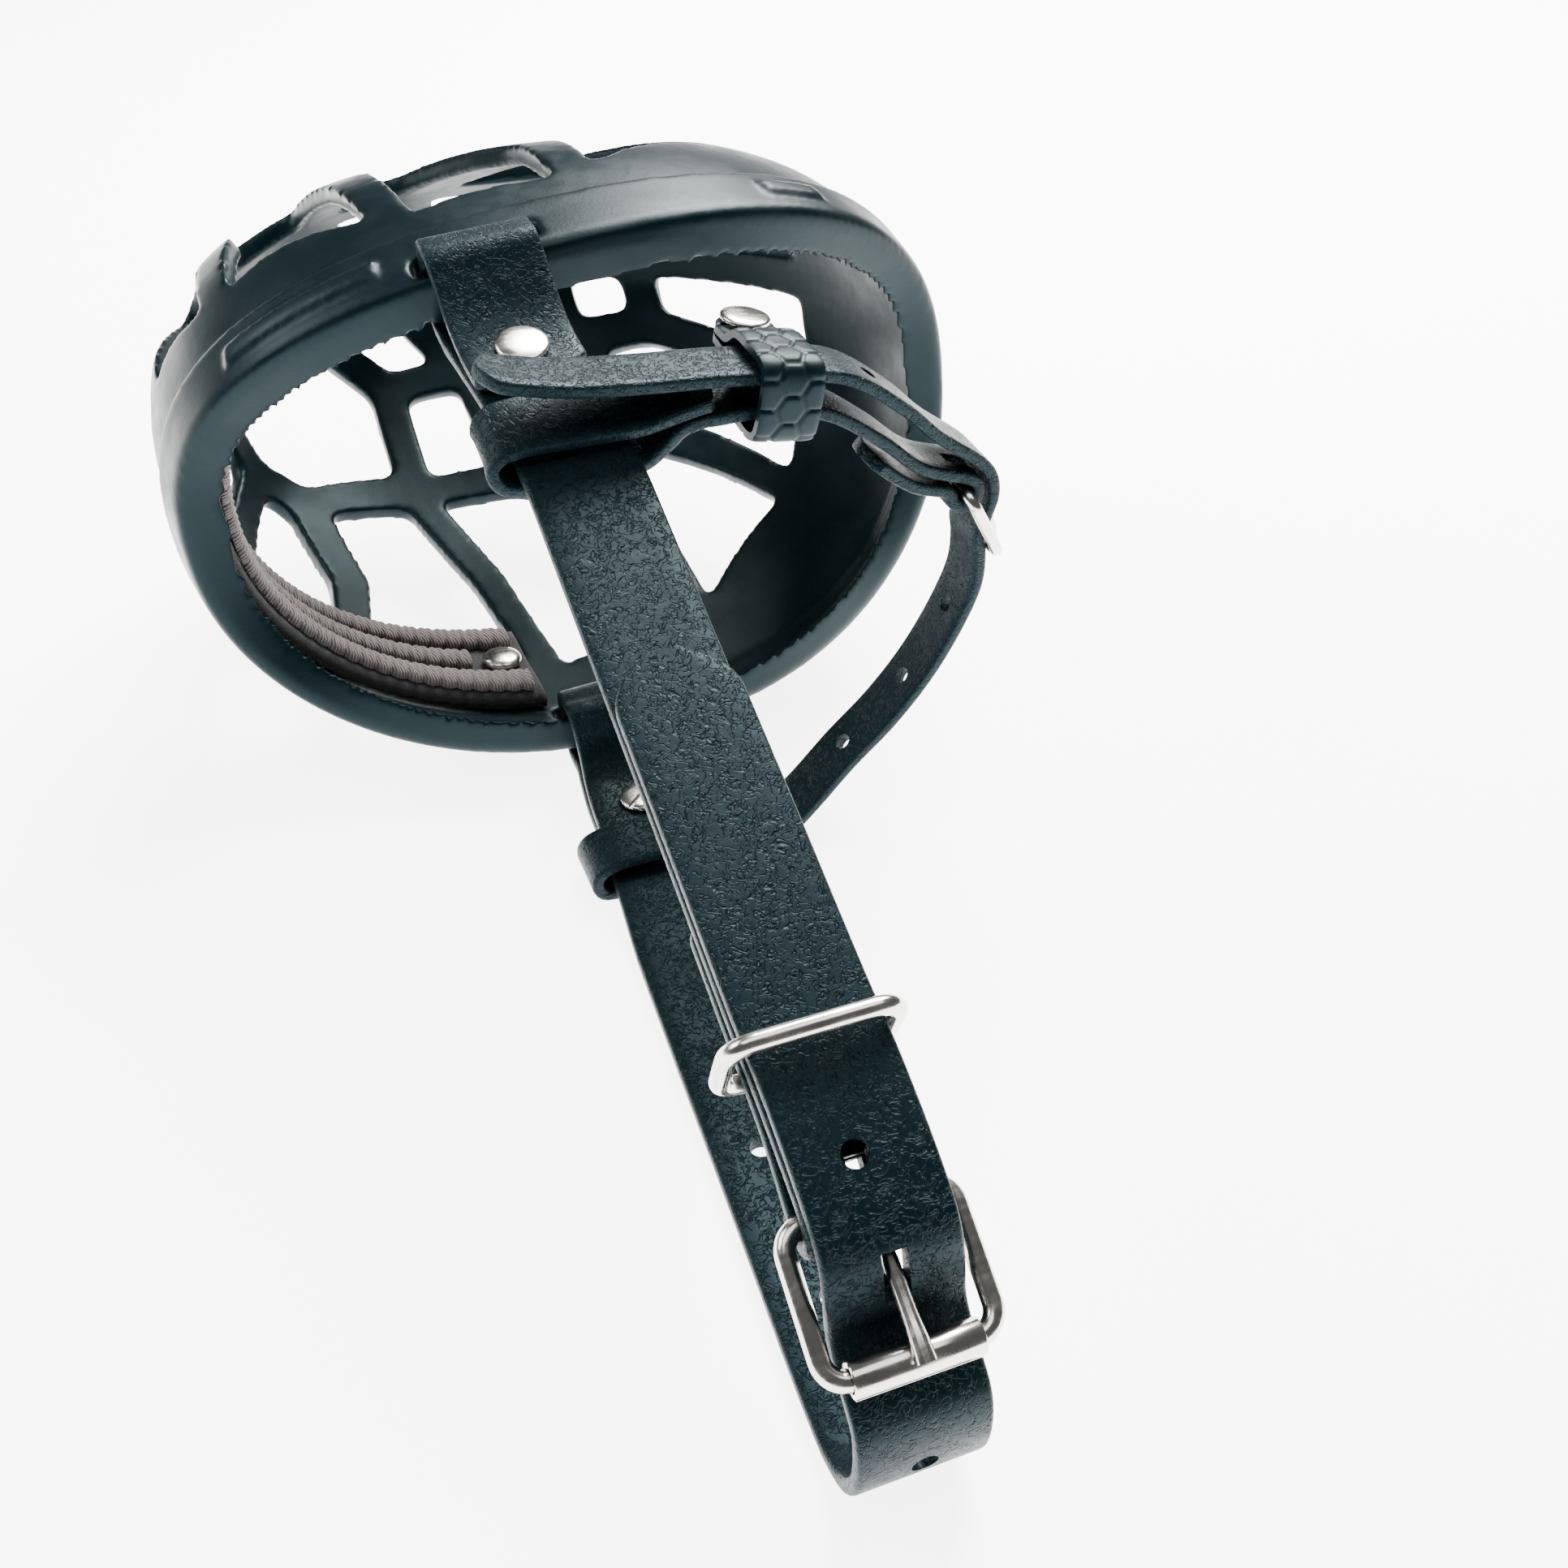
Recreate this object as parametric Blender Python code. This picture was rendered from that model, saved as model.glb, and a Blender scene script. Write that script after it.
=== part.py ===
"""Basket muzzle lying on its left cheek. Lengths below are millimetres; +Y runs towards the nose.

Points are written from the middle of the rim, above the floor, and the finished object is shifted so
that its origin is the centre of its footprint. In the basket's own frame x points to the chin, y to
the nose tip and z to the dog's right cheek.
"""

import math

import bmesh
import bpy
from mathutils import Vector
from mathutils.geometry import delaunay_2d_cdt

MM = 0.001

# Basket: half sizes of the rim opening, length to the nose tip, and how it lies on the floor.
RIM_HALF_WIDTH = 65.9
RIM_HALF_HEIGHT = 44.4
BASKET_LENGTH = 95.0
CHEEK_REACH = 18.2
SECTION_POWER = 2.31
CHIN_FULLNESS = 0.04
NOSE_TAPER = 0.23
SIDE_BULGE = 0.05
CHEEK_BULGE = 0.20
FLOOR_BULGE = 0.03
BRIDGE_SHIFT = 3.0
BASKET_ROLL = math.radians(4.0)
BASKET_PITCH = math.radians(2.75)
BASKET_YAW = math.radians(-0.9)
BASKET_CENTRE = Vector((-0.3, -11.2, 49.2))
LATTICE_TWIST = math.radians(4.0)

SHELL_THICKNESS = 3.4
COLLAR_DEPTH = 0.125
COLLAR_PROUD = 1.7
COLLAR_INSIDE = 3.6
LIP_INSIDE = 4.6
BAR_WIDTH = 6.2
WINDOW_CORNER = 4.0

SLOT_X = -9.7
SLOT_LEAN = 3.7
SLOT_Y = -12.7
SLOT_LENGTH = 19.4
SLOT_WIDTH = 4.6

FOOTPRINT_CENTRE = Vector((-0.5, -48.3, -0.08))

GAP = 0.3

# Straps.
NECK_WIDTH = 17.0
STRAP_THICKNESS = 2.2
LAYER = STRAP_THICKNESS + GAP
THROAT_WIDTH = 10.0
THROAT_THICKNESS = 2.0
HOLE_DIAMETER = 3.4

# Finishes as colour, metallic value and roughness.
RUBBER = ((0.02, 0.022, 0.024), 0.0, 0.5)
PAD_BLACK = ((0.015, 0.014, 0.014), 0.0, 0.9)
RIB_GREY = ((0.16, 0.13, 0.13), 0.0, 0.95)
LEATHER = ((0.02, 0.025, 0.028), 0.0, 0.55)
NICKEL = ((0.75, 0.73, 0.7), 1.0, 0.2)

# Neck buckle.
HEEL_CENTRE = Vector((-12.0, -160.5, 34.5))
ROLLER_CENTRE = Vector((-12.0, -175.5, 25.5))
WIRE = 2.6
ROLLER_DIAMETER = 4.4
BUCKLE_INSIDE_WIDTH = 18.6


def basket_axes():
    """Unit vectors of the basket's own frame: chin, nose and right cheek."""
    across = Vector((math.cos(BASKET_YAW), math.sin(BASKET_YAW), 0.0))
    upward = Vector((
        -math.sin(BASKET_YAW) * math.sin(BASKET_PITCH),
        math.cos(BASKET_YAW) * math.sin(BASKET_PITCH),
        math.cos(BASKET_PITCH),
    ))
    nose = upward.cross(across)
    chin = across * math.cos(BASKET_ROLL) + upward * math.sin(BASKET_ROLL)
    cheek = upward * math.cos(BASKET_ROLL) - across * math.sin(BASKET_ROLL)
    return chin, nose, cheek


CHIN, NOSE, CHEEK = basket_axes()


def from_basket(x, y, z):
    """A point of the basket's frame, in the world."""
    return BASKET_CENTRE + CHIN * x + NOSE * y + CHEEK * z


def slot_point(side, y, height):
    """A point in line with the right (1) or left (-1) strap slot, height out from the basket's middle."""
    return from_basket(SLOT_X - side * SLOT_LEAN, y, side * height)


def signed_power(value, power):
    return math.copysign(abs(value) ** power, value)


def shell_surface(angle, depth):
    """Outer surface of the basket, in its own frame: depth runs from 0 at the rim to 1 at the nose."""
    cosine = math.cos(angle)
    sine = math.sin(angle)
    closing = math.sqrt(max(0.0, 1.0 - depth ** 3))
    swell = math.sin(math.pi * min(depth / 0.8, 1.0))
    x = RIM_HALF_WIDTH * (1 + SIDE_BULGE * swell) * signed_power(cosine, 2 / SECTION_POWER)
    chin_side = x / RIM_HALF_WIDTH
    bulge = CHEEK_BULGE if sine > 0 else FLOOR_BULGE
    height = RIM_HALF_HEIGHT * (1 + bulge * swell) * (1 + CHIN_FULLNESS * chin_side)
    z = height * (1 - NOSE_TAPER * depth * (1 + chin_side)) * signed_power(sine, 2 / SECTION_POWER)
    rim_y = -CHEEK_REACH * sine * sine
    y = rim_y + (BASKET_LENGTH - rim_y) * depth
    return Vector((x * closing - BRIDGE_SHIFT * depth, y, z * closing))


def disk_surface(u, v):
    """The basket surface mapped from a flat disk whose centre is the nose tip and edge the rim."""
    radius = math.hypot(u, v)
    return shell_surface(math.atan2(v, u), 1.0 - radius * radius)


def to_disk(angle, depth):
    radius = math.sqrt(1.0 - depth)
    return Vector((radius * math.cos(angle), radius * math.sin(angle)))


def disk_normal(u, v):
    """Outward unit normal of the basket surface at a point of the disk."""
    step = 0.004
    along_u = disk_surface(u + step, v) - disk_surface(u - step, v)
    along_v = disk_surface(u, v + step) - disk_surface(u, v - step)
    return along_v.cross(along_u).normalized()


def offset_point(angle, depth, offset):
    """A point off the basket surface by offset, outwards when positive, in the world."""
    flat = to_disk(angle, max(depth, 0.004))
    point = shell_surface(angle, depth) + disk_normal(flat.x, flat.y) * offset
    return from_basket(*point)


def material(name, finish):
    """A Principled material for one piece."""
    colour, metallic, roughness = finish
    made = bpy.data.materials.new(name)
    made.use_nodes = True
    shader = made.node_tree.nodes["Principled BSDF"]
    shader.inputs["Base Color"].default_value = (*colour, 1.0)
    shader.inputs["Metallic"].default_value = metallic
    shader.inputs["Roughness"].default_value = roughness
    return made


def add_object(name, vertices, faces, finish, smooth=True, origin=None):
    """A closed mesh object from points in millimetres, with its origin where asked."""
    home = origin if origin else FOOTPRINT_CENTRE
    mesh = bpy.data.meshes.new(name)
    mesh.from_pydata([(Vector(p) - home) * MM for p in vertices], [], faces)
    work = bmesh.new()
    work.from_mesh(mesh)
    bmesh.ops.recalc_face_normals(work, faces=work.faces)
    work.to_mesh(mesh)
    work.free()
    for face in mesh.polygons:
        face.use_smooth = smooth
    mesh.materials.append(material(name, finish))
    made = bpy.data.objects.new(name, mesh)
    made.location = (home - FOOTPRINT_CENTRE) * MM
    bpy.context.scene.collection.objects.link(made)
    return made


def combine(target, tool, operation):
    """Joins a tool to the target or cuts it away, then drops the tool."""
    bpy.context.view_layer.update()
    change = target.modifiers.new("combine", "BOOLEAN")
    change.operation = operation
    change.solver = "EXACT"
    change.object = tool
    shape = bpy.context.evaluated_depsgraph_get()
    result = bpy.data.meshes.new_from_object(target.evaluated_get(shape))
    target.modifiers.remove(change)
    target.data = result
    bpy.data.objects.remove(tool)


def sweep_rings(rings, closed_path=False):
    """Faces of a tube through equal rings of points, capped unless the path closes."""
    vertices = [point for ring in rings for point in ring]
    size = len(rings[0])
    count = len(rings)
    faces = []
    for i in range(count if closed_path else count - 1):
        here = i * size
        there = ((i + 1) % count) * size
        for j in range(size):
            k = (j + 1) % size
            faces.append((here + j, here + k, there + k, there + j))
    if not closed_path:
        faces.append(tuple(range(size)))
        faces.append(tuple(reversed(range((count - 1) * size, count * size))))
    return vertices, faces


def rectangle(width, thickness):
    """Section of a strap."""
    w = width / 2
    t = thickness / 2
    return [(w, t), (w, -t), (-w, -t), (-w, t)]


def ribbon(name, path, across, width, thickness, finish, end_scale=None):
    """A strap swept along a path; across gives its width direction at each point."""
    rings = []
    last = len(path) - 1
    for i, point in enumerate(path):
        tangent = (path[min(i + 1, last)] - path[max(i - 1, 0)]).normalized()
        side = across[i] - tangent * across[i].dot(tangent)
        side.normalize()
        normal = tangent.cross(side)
        scale = end_scale[i] if end_scale else 1.0
        section = rectangle(width * scale, thickness)
        rings.append([point + side * a + normal * b for a, b in section])
    vertices, faces = sweep_rings(rings)
    return add_object(name, vertices, faces, finish, False)


def rod(name, path, radius, finish, sides=8, closed=False, origin=None):
    """A round wire swept along a path."""
    count = len(path)
    rings = []
    reference = Vector((0.31, 0.17, 0.93))
    for i, point in enumerate(path):
        if closed:
            tangent = path[(i + 1) % count] - path[i - 1]
        else:
            tangent = path[min(i + 1, count - 1)] - path[max(i - 1, 0)]
        tangent.normalize()
        side = reference - tangent * reference.dot(tangent)
        side.normalize()
        reference = side
        normal = tangent.cross(side)
        rings.append([
            point + (side * math.cos(a) + normal * math.sin(a)) * radius
            for a in (2 * math.pi * k / sides for k in range(sides))
        ])
    vertices, faces = sweep_rings(rings, closed)
    return add_object(name, vertices, faces, finish, True, origin)


def turned(name, profile, base, axis, finish, sides=20, closed_profile=False, origin=None):
    """A turned piece: profile lists (radius, height) from the base point along the axis."""
    axis = axis.normalized()
    helper = Vector((1, 0, 0)) if abs(axis.x) < 0.9 else Vector((0, 1, 0))
    side = axis.cross(helper).normalized()
    other = axis.cross(side)
    rings = []
    for radius, height in profile:
        rings.append([
            base + axis * height + (side * math.cos(a) + other * math.sin(a)) * radius
            for a in (2 * math.pi * k / sides for k in range(sides))
        ])
    vertices, faces = sweep_rings(rings, closed_profile)
    return add_object(name, vertices, faces, finish, True, origin)


def smooth_path(points, per_span=4):
    """Smooth curve through the points that doesn't overshoot where their spacing changes."""
    ends = [points[0] * 2 - points[1]] + points + [points[-1] * 2 - points[-2]]
    out = []
    for i in range(len(points) - 1):
        a, b, c, d = ends[i:i + 4]
        ta = 0.0
        tb = ta + math.sqrt((b - a).length)
        tc = tb + math.sqrt((c - b).length)
        td = tc + math.sqrt((d - c).length)
        for k in range(per_span):
            t = tb + (tc - tb) * k / per_span
            ab = a * ((tb - t) / (tb - ta)) + b * ((t - ta) / (tb - ta))
            bc = b * ((tc - t) / (tc - tb)) + c * ((t - tb) / (tc - tb))
            cd = c * ((td - t) / (td - tc)) + d * ((t - tc) / (td - tc))
            first = ab * ((tc - t) / (tc - ta)) + bc * ((t - ta) / (tc - ta))
            second = bc * ((td - t) / (td - tb)) + cd * ((t - tb) / (td - tb))
            out.append(first * ((tc - t) / (tc - tb)) + second * ((t - tb) / (tc - tb)))
    out.append(points[-1])
    return out


# ---------------------------------------------------------------- basket

# Lattice nodes of the right half as (degrees round from the chin, depth); the left half mirrors them.
NODES = {
    "wall_mid": (0, 0.49), "wall_side": (27, 0.43), "wall_top": (53, 0.30),
    "foot_c": (81, 0.15), "foot_b": (101, 0.14), "foot_a": (132, 0.17), "foot_e": (157, 0.21),
    "bend_c": (81, 0.42), "bend_b": (104, 0.45), "bend_a": (130, 0.45),
    "ring_r": (37, 0.68), "ring_c": (69, 0.65), "ring_b": (94, 0.675), "ring_a": (114, 0.685),
    "ring_e": (142, 0.635), "ring_f": (160, 0.64),
    "front_r": (41, 0.815), "front_c": (65, 0.88), "front_b": (96, 0.91), "front_a": (128, 0.90),
    "mid_chin": (0, 0.88), "mid_c": (0, 0.968), "mid_b": (180, 0.985), "mid_a": (180, 0.91),
    "ring_mid": (180, 0.65),
}
SIDE_WINDOWS = [
    ["foot_b", "foot_a", "bend_a", "ring_e", "ring_a", "bend_b"],
    ["foot_c", "foot_b", "bend_b", "ring_a", "ring_b", "bend_c"],
    ["wall_top", "foot_c", "bend_c", "ring_b", "ring_c"],
    ["wall_side", "wall_top", "ring_c", "ring_r"],
    ["foot_a", "foot_e", "ring_f", "ring_e", "bend_a"],
    ["ring_a", "ring_e", "ring_f", "ring_mid", "mid_a", "front_a"],
    ["ring_b", "ring_a", "front_a", "front_b"],
    ["ring_c", "ring_b", "front_b", "front_c"],
    ["ring_r", "ring_c", "front_c", "front_r"],
    ["wall_mid", "wall_side", "ring_r", "front_r", "mid_chin"],
    ["mid_chin", "front_r", "front_c", "mid_c"],
    ["mid_c", "front_c", "front_b", "mid_b"],
    ["mid_b", "front_b", "front_a", "mid_a"],
]


def node_on_disk(name, mirror):
    degrees, depth = NODES[name]
    return to_disk(math.radians(degrees) * mirror + LATTICE_TWIST, depth)


def window_metric(centre):
    """Columns giving millimetres on the surface for steps along the disk's u and v."""
    step = 0.01
    du = disk_surface(centre.x + step, centre.y) - disk_surface(centre.x - step, centre.y)
    dv = disk_surface(centre.x, centre.y + step) - disk_surface(centre.x, centre.y - step)
    du /= 2 * step
    dv /= 2 * step
    first = du.normalized()
    second = (dv - first * dv.dot(first)).normalized()
    return du.dot(first), dv.dot(first), dv.dot(second)


def inset_corners(corners, distance):
    """Moves every edge of an anticlockwise polygon inwards."""
    count = len(corners)
    lines = []
    for i, here in enumerate(corners):
        along = (corners[(i + 1) % count] - here).normalized()
        lines.append((here + Vector((-along.y, along.x)) * distance, along))
    moved = []
    for i in range(count):
        point_a, along_a = lines[i - 1]
        point_b, along_b = lines[i]
        cross = along_a.x * along_b.y - along_a.y * along_b.x
        gap = point_b - point_a
        t = (gap.x * along_b.y - gap.y * along_b.x) / cross
        moved.append(point_a + along_a * t)
    return moved


def round_corners(corners, radius):
    """Replaces each corner by a short curve."""
    count = len(corners)
    out = []
    for i, here in enumerate(corners):
        before = corners[i - 1] - here
        after = corners[(i + 1) % count] - here
        start = here + before.normalized() * min(radius, before.length * 0.45)
        end = here + after.normalized() * min(radius, after.length * 0.45)
        for t in (0.0, 0.5, 1.0):
            out.append(start * (1 - t) ** 2 + here * 2 * t * (1 - t) + end * t * t)
    return out


def window_outline(points):
    """Rounded outline of the opening between bars that join the given disk points."""
    centre = sum(points, Vector((0, 0))) / len(points)
    xx, xy, yy = window_metric(centre)
    flat = [Vector((p.x * xx + p.y * xy, p.y * yy)) for p in points]
    turn = sum(
        a.x * b.y - a.y * b.x for a, b in zip(flat, flat[1:] + flat[:1])
    )
    if turn < 0:
        flat.reverse()
    outline = round_corners(inset_corners(flat, BAR_WIDTH / 2), WINDOW_CORNER)
    return [Vector(((p.x - p.y / yy * xy) / xx, p.y / yy)) for p in outline]


def lattice_windows():
    windows = []
    for names in SIDE_WINDOWS:
        for mirror in (1, -1):
            windows.append(window_outline([node_on_disk(n, mirror) for n in names]))
    bridge = [
        node_on_disk("foot_e", 1), node_on_disk("foot_e", -1),
        node_on_disk("ring_f", -1), node_on_disk("ring_f", 1),
    ]
    windows.append(window_outline(bridge))
    return windows


def inside(point, outline):
    """True when the point lies in the outline."""
    crossings = 0
    for a, b in zip(outline, outline[1:] + outline[:1]):
        if (a.y > point.y) != (b.y > point.y):
            x = a.x + (point.y - a.y) / (b.y - a.y) * (b.x - a.x)
            crossings += point.x < x
    return crossings % 2 == 1


def lattice_grid(windows):
    """Points spread over the solid parts of the lattice, clear of the window outlines."""
    clearance = 0.02
    points = []
    depth_rows = [0.2, 0.28, 0.36, 0.44, 0.52, 0.6, 0.68, 0.76, 0.84, 0.92]
    for depth in depth_rows:
        count = 36 if depth < 0.7 else 24
        for k in range(count):
            point = to_disk(2 * math.pi * (k + 0.5) / count, depth)
            near = min((point - q).length for outline in windows for q in outline)
            if near > clearance and not any(inside(point, outline) for outline in windows):
                points.append(point)
    return points


def build_lattice():
    """The windowed wall of the basket, from inside the collar to the nose."""
    windows = lattice_windows()
    start_depth = 0.12
    points = []
    edges = []
    rim_count = 72
    for k in range(rim_count):
        points.append(to_disk(2 * math.pi * k / rim_count, start_depth))
        edges.append((k, (k + 1) % rim_count))
    for outline in windows:
        first = len(points)
        count = len(outline)
        points.extend(outline)
        edges.extend((first + k, first + (k + 1) % count) for k in range(count))
    points.extend(lattice_grid(windows))
    spots, _, triangles, _, _, _ = delaunay_2d_cdt(points, edges, [], 0, 1e-7)
    solid = []
    for triangle in triangles:
        centre = sum((spots[i] for i in triangle), Vector((0, 0))) / 3
        if not any(inside(centre, outline) for outline in windows):
            solid.append(tuple(triangle))
    outer = [disk_surface(p.x, p.y) for p in spots]
    inner = [s - disk_normal(p.x, p.y) * SHELL_THICKNESS for s, p in zip(outer, spots)]
    count = len(spots)
    faces = list(solid)
    faces.extend(tuple(count + i for i in reversed(face)) for face in solid)
    directed = {}
    for face in solid:
        for i, j in zip(face, face[1:] + face[:1]):
            directed[(i, j)] = True
    for i, j in directed:
        if (j, i) not in directed:
            faces.append((j, i, count + i, count + j))
    used = sorted({i for face in faces for i in face})
    place = {old: new for new, old in enumerate(used)}
    both = outer + inner
    vertices = [from_basket(*both[i]) for i in used]
    faces = [tuple(place[i] for i in face) for face in faces]
    return add_object("basket_shell", vertices, faces, RUBBER)


def build_collar():
    """Thick band and rolled lip round the opening."""
    profile = [
        (0.0, -6.4), (0.0, -0.6), (0.006, 1.2), (0.02, COLLAR_PROUD),
        (COLLAR_DEPTH - 0.01, COLLAR_PROUD), (COLLAR_DEPTH, COLLAR_PROUD - 1.0),
        (COLLAR_DEPTH, -COLLAR_INSIDE + 0.2), (0.065, -COLLAR_INSIDE),
        (0.045, 0.4 - LIP_INSIDE), (0.012, -LIP_INSIDE),
    ]
    sides = 72
    rings = []
    for k in range(sides):
        angle = 2 * math.pi * k / sides
        rings.append([offset_point(angle, depth, offset) for depth, offset in profile])
    vertices, faces = sweep_rings(rings, True)
    return add_object("collar", vertices, faces, RUBBER)


def box(name, centre, size, axes, finish):
    """A box with its edges along the given unit axes."""
    vertices = []
    for a in (-0.5, 0.5):
        for b in (-0.5, 0.5):
            for c in (-0.5, 0.5):
                vertices.append(
                    centre + axes[0] * size[0] * a + axes[1] * size[1] * b + axes[2] * size[2] * c
                )
    faces = [(0, 1, 3, 2), (4, 6, 7, 5), (0, 4, 5, 1), (2, 3, 7, 6), (0, 2, 6, 4), (1, 5, 7, 3)]
    return add_object(name, vertices, faces, finish, False)


def build_basket():
    shell = build_lattice()
    combine(shell, build_collar(), "UNION")
    for side in (1, -1):
        centre = slot_point(side, SLOT_Y, RIM_HALF_HEIGHT)
        size = (SLOT_LENGTH, SLOT_WIDTH, 24.0)
        combine(shell, box("slot", centre, size, (CHIN, NOSE, CHEEK), RUBBER), "DIFFERENCE")
    return shell


# ---------------------------------------------------------------- nose pad

PAD_ENDS = (math.radians(101.5), math.radians(258.5))
PAD_DEPTHS = (0.068, 0.265)
PAD_OFFSET = -(COLLAR_INSIDE + 0.45)
PAD_THICKNESS = 3.0
RIB_DEPTHS = {"front": 0.100, "middle": 0.166, "back": 0.232}
RIB_HALF_WIDTH = 0.023
RIB_CLEARANCE = {"front": 0.35, "middle": 0.4, "back": 0.25}
RIB_HEIGHT = 2.2


def band_rings(profile, first, last, count):
    """Rings of a band that follows the inside of the collar between two angles."""
    rings = []
    for k in range(count + 1):
        angle = first + (last - first) * k / count
        rings.append([offset_point(angle, depth, offset) for depth, offset in profile])
    return rings


def build_pad():
    near, far = PAD_DEPTHS
    outside = PAD_OFFSET
    inside_face = PAD_OFFSET - PAD_THICKNESS
    profile = [
        (near, outside), (far, outside), (far + 0.006, outside - 1.5),
        (far, inside_face), (near, inside_face), (near - 0.004, outside - 1.5),
    ]
    vertices, faces = sweep_rings(band_rings(profile, *PAD_ENDS, 32))
    pad = add_object("nose_pad", vertices, faces, PAD_BLACK)
    for name, angle in (("pad_rivet_right", PAD_ENDS[0]), ("pad_rivet_left", PAD_ENDS[1])):
        toward = math.copysign(math.radians(4.0), math.pi - angle)
        build_pad_rivet(pad, name, angle + toward)
    for name, depth in RIB_DEPTHS.items():
        build_rib(name, depth)


def build_pad_rivet(pad, name, angle):
    """A capped rivet whose shank sits in a hole of the pad."""
    depth = RIB_DEPTHS["middle"]
    face = offset_point(angle, depth, PAD_OFFSET - PAD_THICKNESS)
    back = offset_point(angle, depth, PAD_OFFSET)
    inward = (face - back).normalized()
    hole = turned("hole", [(1.5, -PAD_THICKNESS - 2), (1.5, 3.0)], face, inward, RUBBER, 12)
    combine(pad, hole, "DIFFERENCE")
    profile = [
        (1.2, -PAD_THICKNESS + 0.2), (1.2, 0.8), (3.4, 0.8), (3.4, 1.3), (2.6, 1.9), (1.0, 2.2),
    ]
    turned(name, profile, face, inward, NICKEL, 16)


def build_rib(name, depth):
    """A half-round woven rib sewn along the pad."""
    base = PAD_OFFSET - PAD_THICKNESS - GAP - RIB_CLEARANCE[name]
    w = RIB_HALF_WIDTH
    profile = [
        (depth - w, base), (depth + w, base), (depth + w * 0.75, base - RIB_HEIGHT * 0.7),
        (depth, base - RIB_HEIGHT), (depth - w * 0.75, base - RIB_HEIGHT * 0.7),
    ]
    inset = math.radians(9.5 if name == "middle" else 2.0)
    rings = band_rings(profile, PAD_ENDS[0] + inset, PAD_ENDS[1] - inset, 28)
    vertices, faces = sweep_rings(rings)
    add_object("pad_rib_" + name, vertices, faces, RIB_GREY)


# ---------------------------------------------------------------- neck strap

TAB_OUT_RIGHT = RIM_HALF_HEIGHT + COLLAR_PROUD + 0.9 + GAP + STRAP_THICKNESS / 2
TAB_OUT_LEFT = TAB_OUT_RIGHT - 0.2
STRAND_IN = RIM_HALF_HEIGHT - COLLAR_INSIDE - GAP - STRAP_THICKNESS / 2 - 4.3
STRAND_LIP = RIM_HALF_HEIGHT - LIP_INSIDE - GAP - STRAP_THICKNESS / 2 - 3.6


def slot_turn(side, tab_out):
    """Strap centreline at a cheek slot, from outside the collar to inside, in the world."""
    bend = 2.2
    spots = [(SLOT_Y - 6.5, tab_out), (SLOT_Y - 4.4, tab_out)]
    for degrees in (90, 60, 30, 0):
        angle = math.radians(degrees)
        spots.append((SLOT_Y - bend + bend * math.cos(angle), tab_out - bend + bend * math.sin(angle)))
    for degrees in (0, 30, 60, 90):
        angle = math.radians(degrees)
        spots.append((SLOT_Y - bend + bend * math.cos(angle), STRAND_IN + bend - bend * math.sin(angle)))
    spots += [(SLOT_Y - 5.0, STRAND_LIP + 0.3), (SLOT_Y - 8.0, STRAND_LIP)]
    return [slot_point(side, y, z) for y, z in spots]


def blended_across(path, near, far):
    """Width directions: the basket's own up to the near distance, level beyond the far one."""
    level = Vector((1.0, 0.0, 0.0))
    out = []
    for point in path:
        share = min(1.0, max(0.0, (-point.y - near) / (far - near)))
        out.append((CHIN * (1 - share) + level * share).normalized())
    return out


def world(points):
    return [Vector(p) for p in points]


def kept_off_floor(path, half_thickness):
    """The path with no point lower than a strap lying on the floor."""
    return [Vector((p.x, p.y, max(p.z, half_thickness))) for p in path]


def build_neck_buckle_strap():
    """From the turned-back tab, through the right slot, down to the buckle's heel and back."""
    tab = world([(-15.2, -46.5, 84.8), (-15.8, -40.0, 86.4), (-16.3, -34.8, 89.4)])
    shoulder = world([(-16.9, -30.2, 94.6)])
    strand = world([
        (-16.2, -36.0, 84.2), (-15.0, -46.0, 82.2), (-13.6, -60.0, 78.2), (-13.3, -78.0, 71.8),
        (-13.1, -97.0, 64.6), (-12.9, -120.0, 56.0), (-12.7, -140.0, 48.2), (-12.3, -152.0, 42.6),
    ])
    heel_top = heel_point(2.9, 0.0)
    heel_front = heel_point(2.9, 90.0)
    heel_corner = heel_point(2.9, 45.0)
    heel_under_corner = heel_point(2.9, 135.0)
    heel_under = heel_point(2.9, 180.0)
    back = world([
        (-12.3, -150.6, 39.2), (-12.7, -139.0, 45.4), (-12.9, -127.5, 50.4), (-13.0, -124.0, 51.6),
    ])
    turn = slot_turn(1, TAB_OUT_RIGHT)
    path = tab + shoulder + turn + strand + [heel_top, heel_corner, heel_front]
    path += [heel_under_corner, heel_under] + back
    fine = smooth_path(path, 2)
    across = blended_across(fine, 28.0, 50.0)
    scale = [1.0] * len(fine)
    for i, value in enumerate((0.62, 0.86)):
        scale[i] = value
        scale[-1 - i] = value
    strap = ribbon(
        "neck_buckle_strap", fine, across, NECK_WIDTH, STRAP_THICKNESS, LEATHER, scale
    )
    axes = (Vector((1, 0, 0)), BUCKLE_ALONG, BUCKLE_NORMAL)
    slot = box("slot", buckle_point(0.4, 0.0), (3.4, 11.6, 9.8), axes, LEATHER)
    combine(strap, slot, "DIFFERENCE")
    return strap


BUCKLE_ALONG = (ROLLER_CENTRE - HEEL_CENTRE).normalized()
BUCKLE_NORMAL = Vector((1, 0, 0)).cross(BUCKLE_ALONG).normalized() * -1.0


def heel_point(radius, degrees):
    """A point round the heel bar: 0 is above it, 90 towards the roller, 180 below."""
    angle = math.radians(degrees)
    return HEEL_CENTRE + (BUCKLE_NORMAL * math.cos(angle) + BUCKLE_ALONG * math.sin(angle)) * radius


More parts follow.
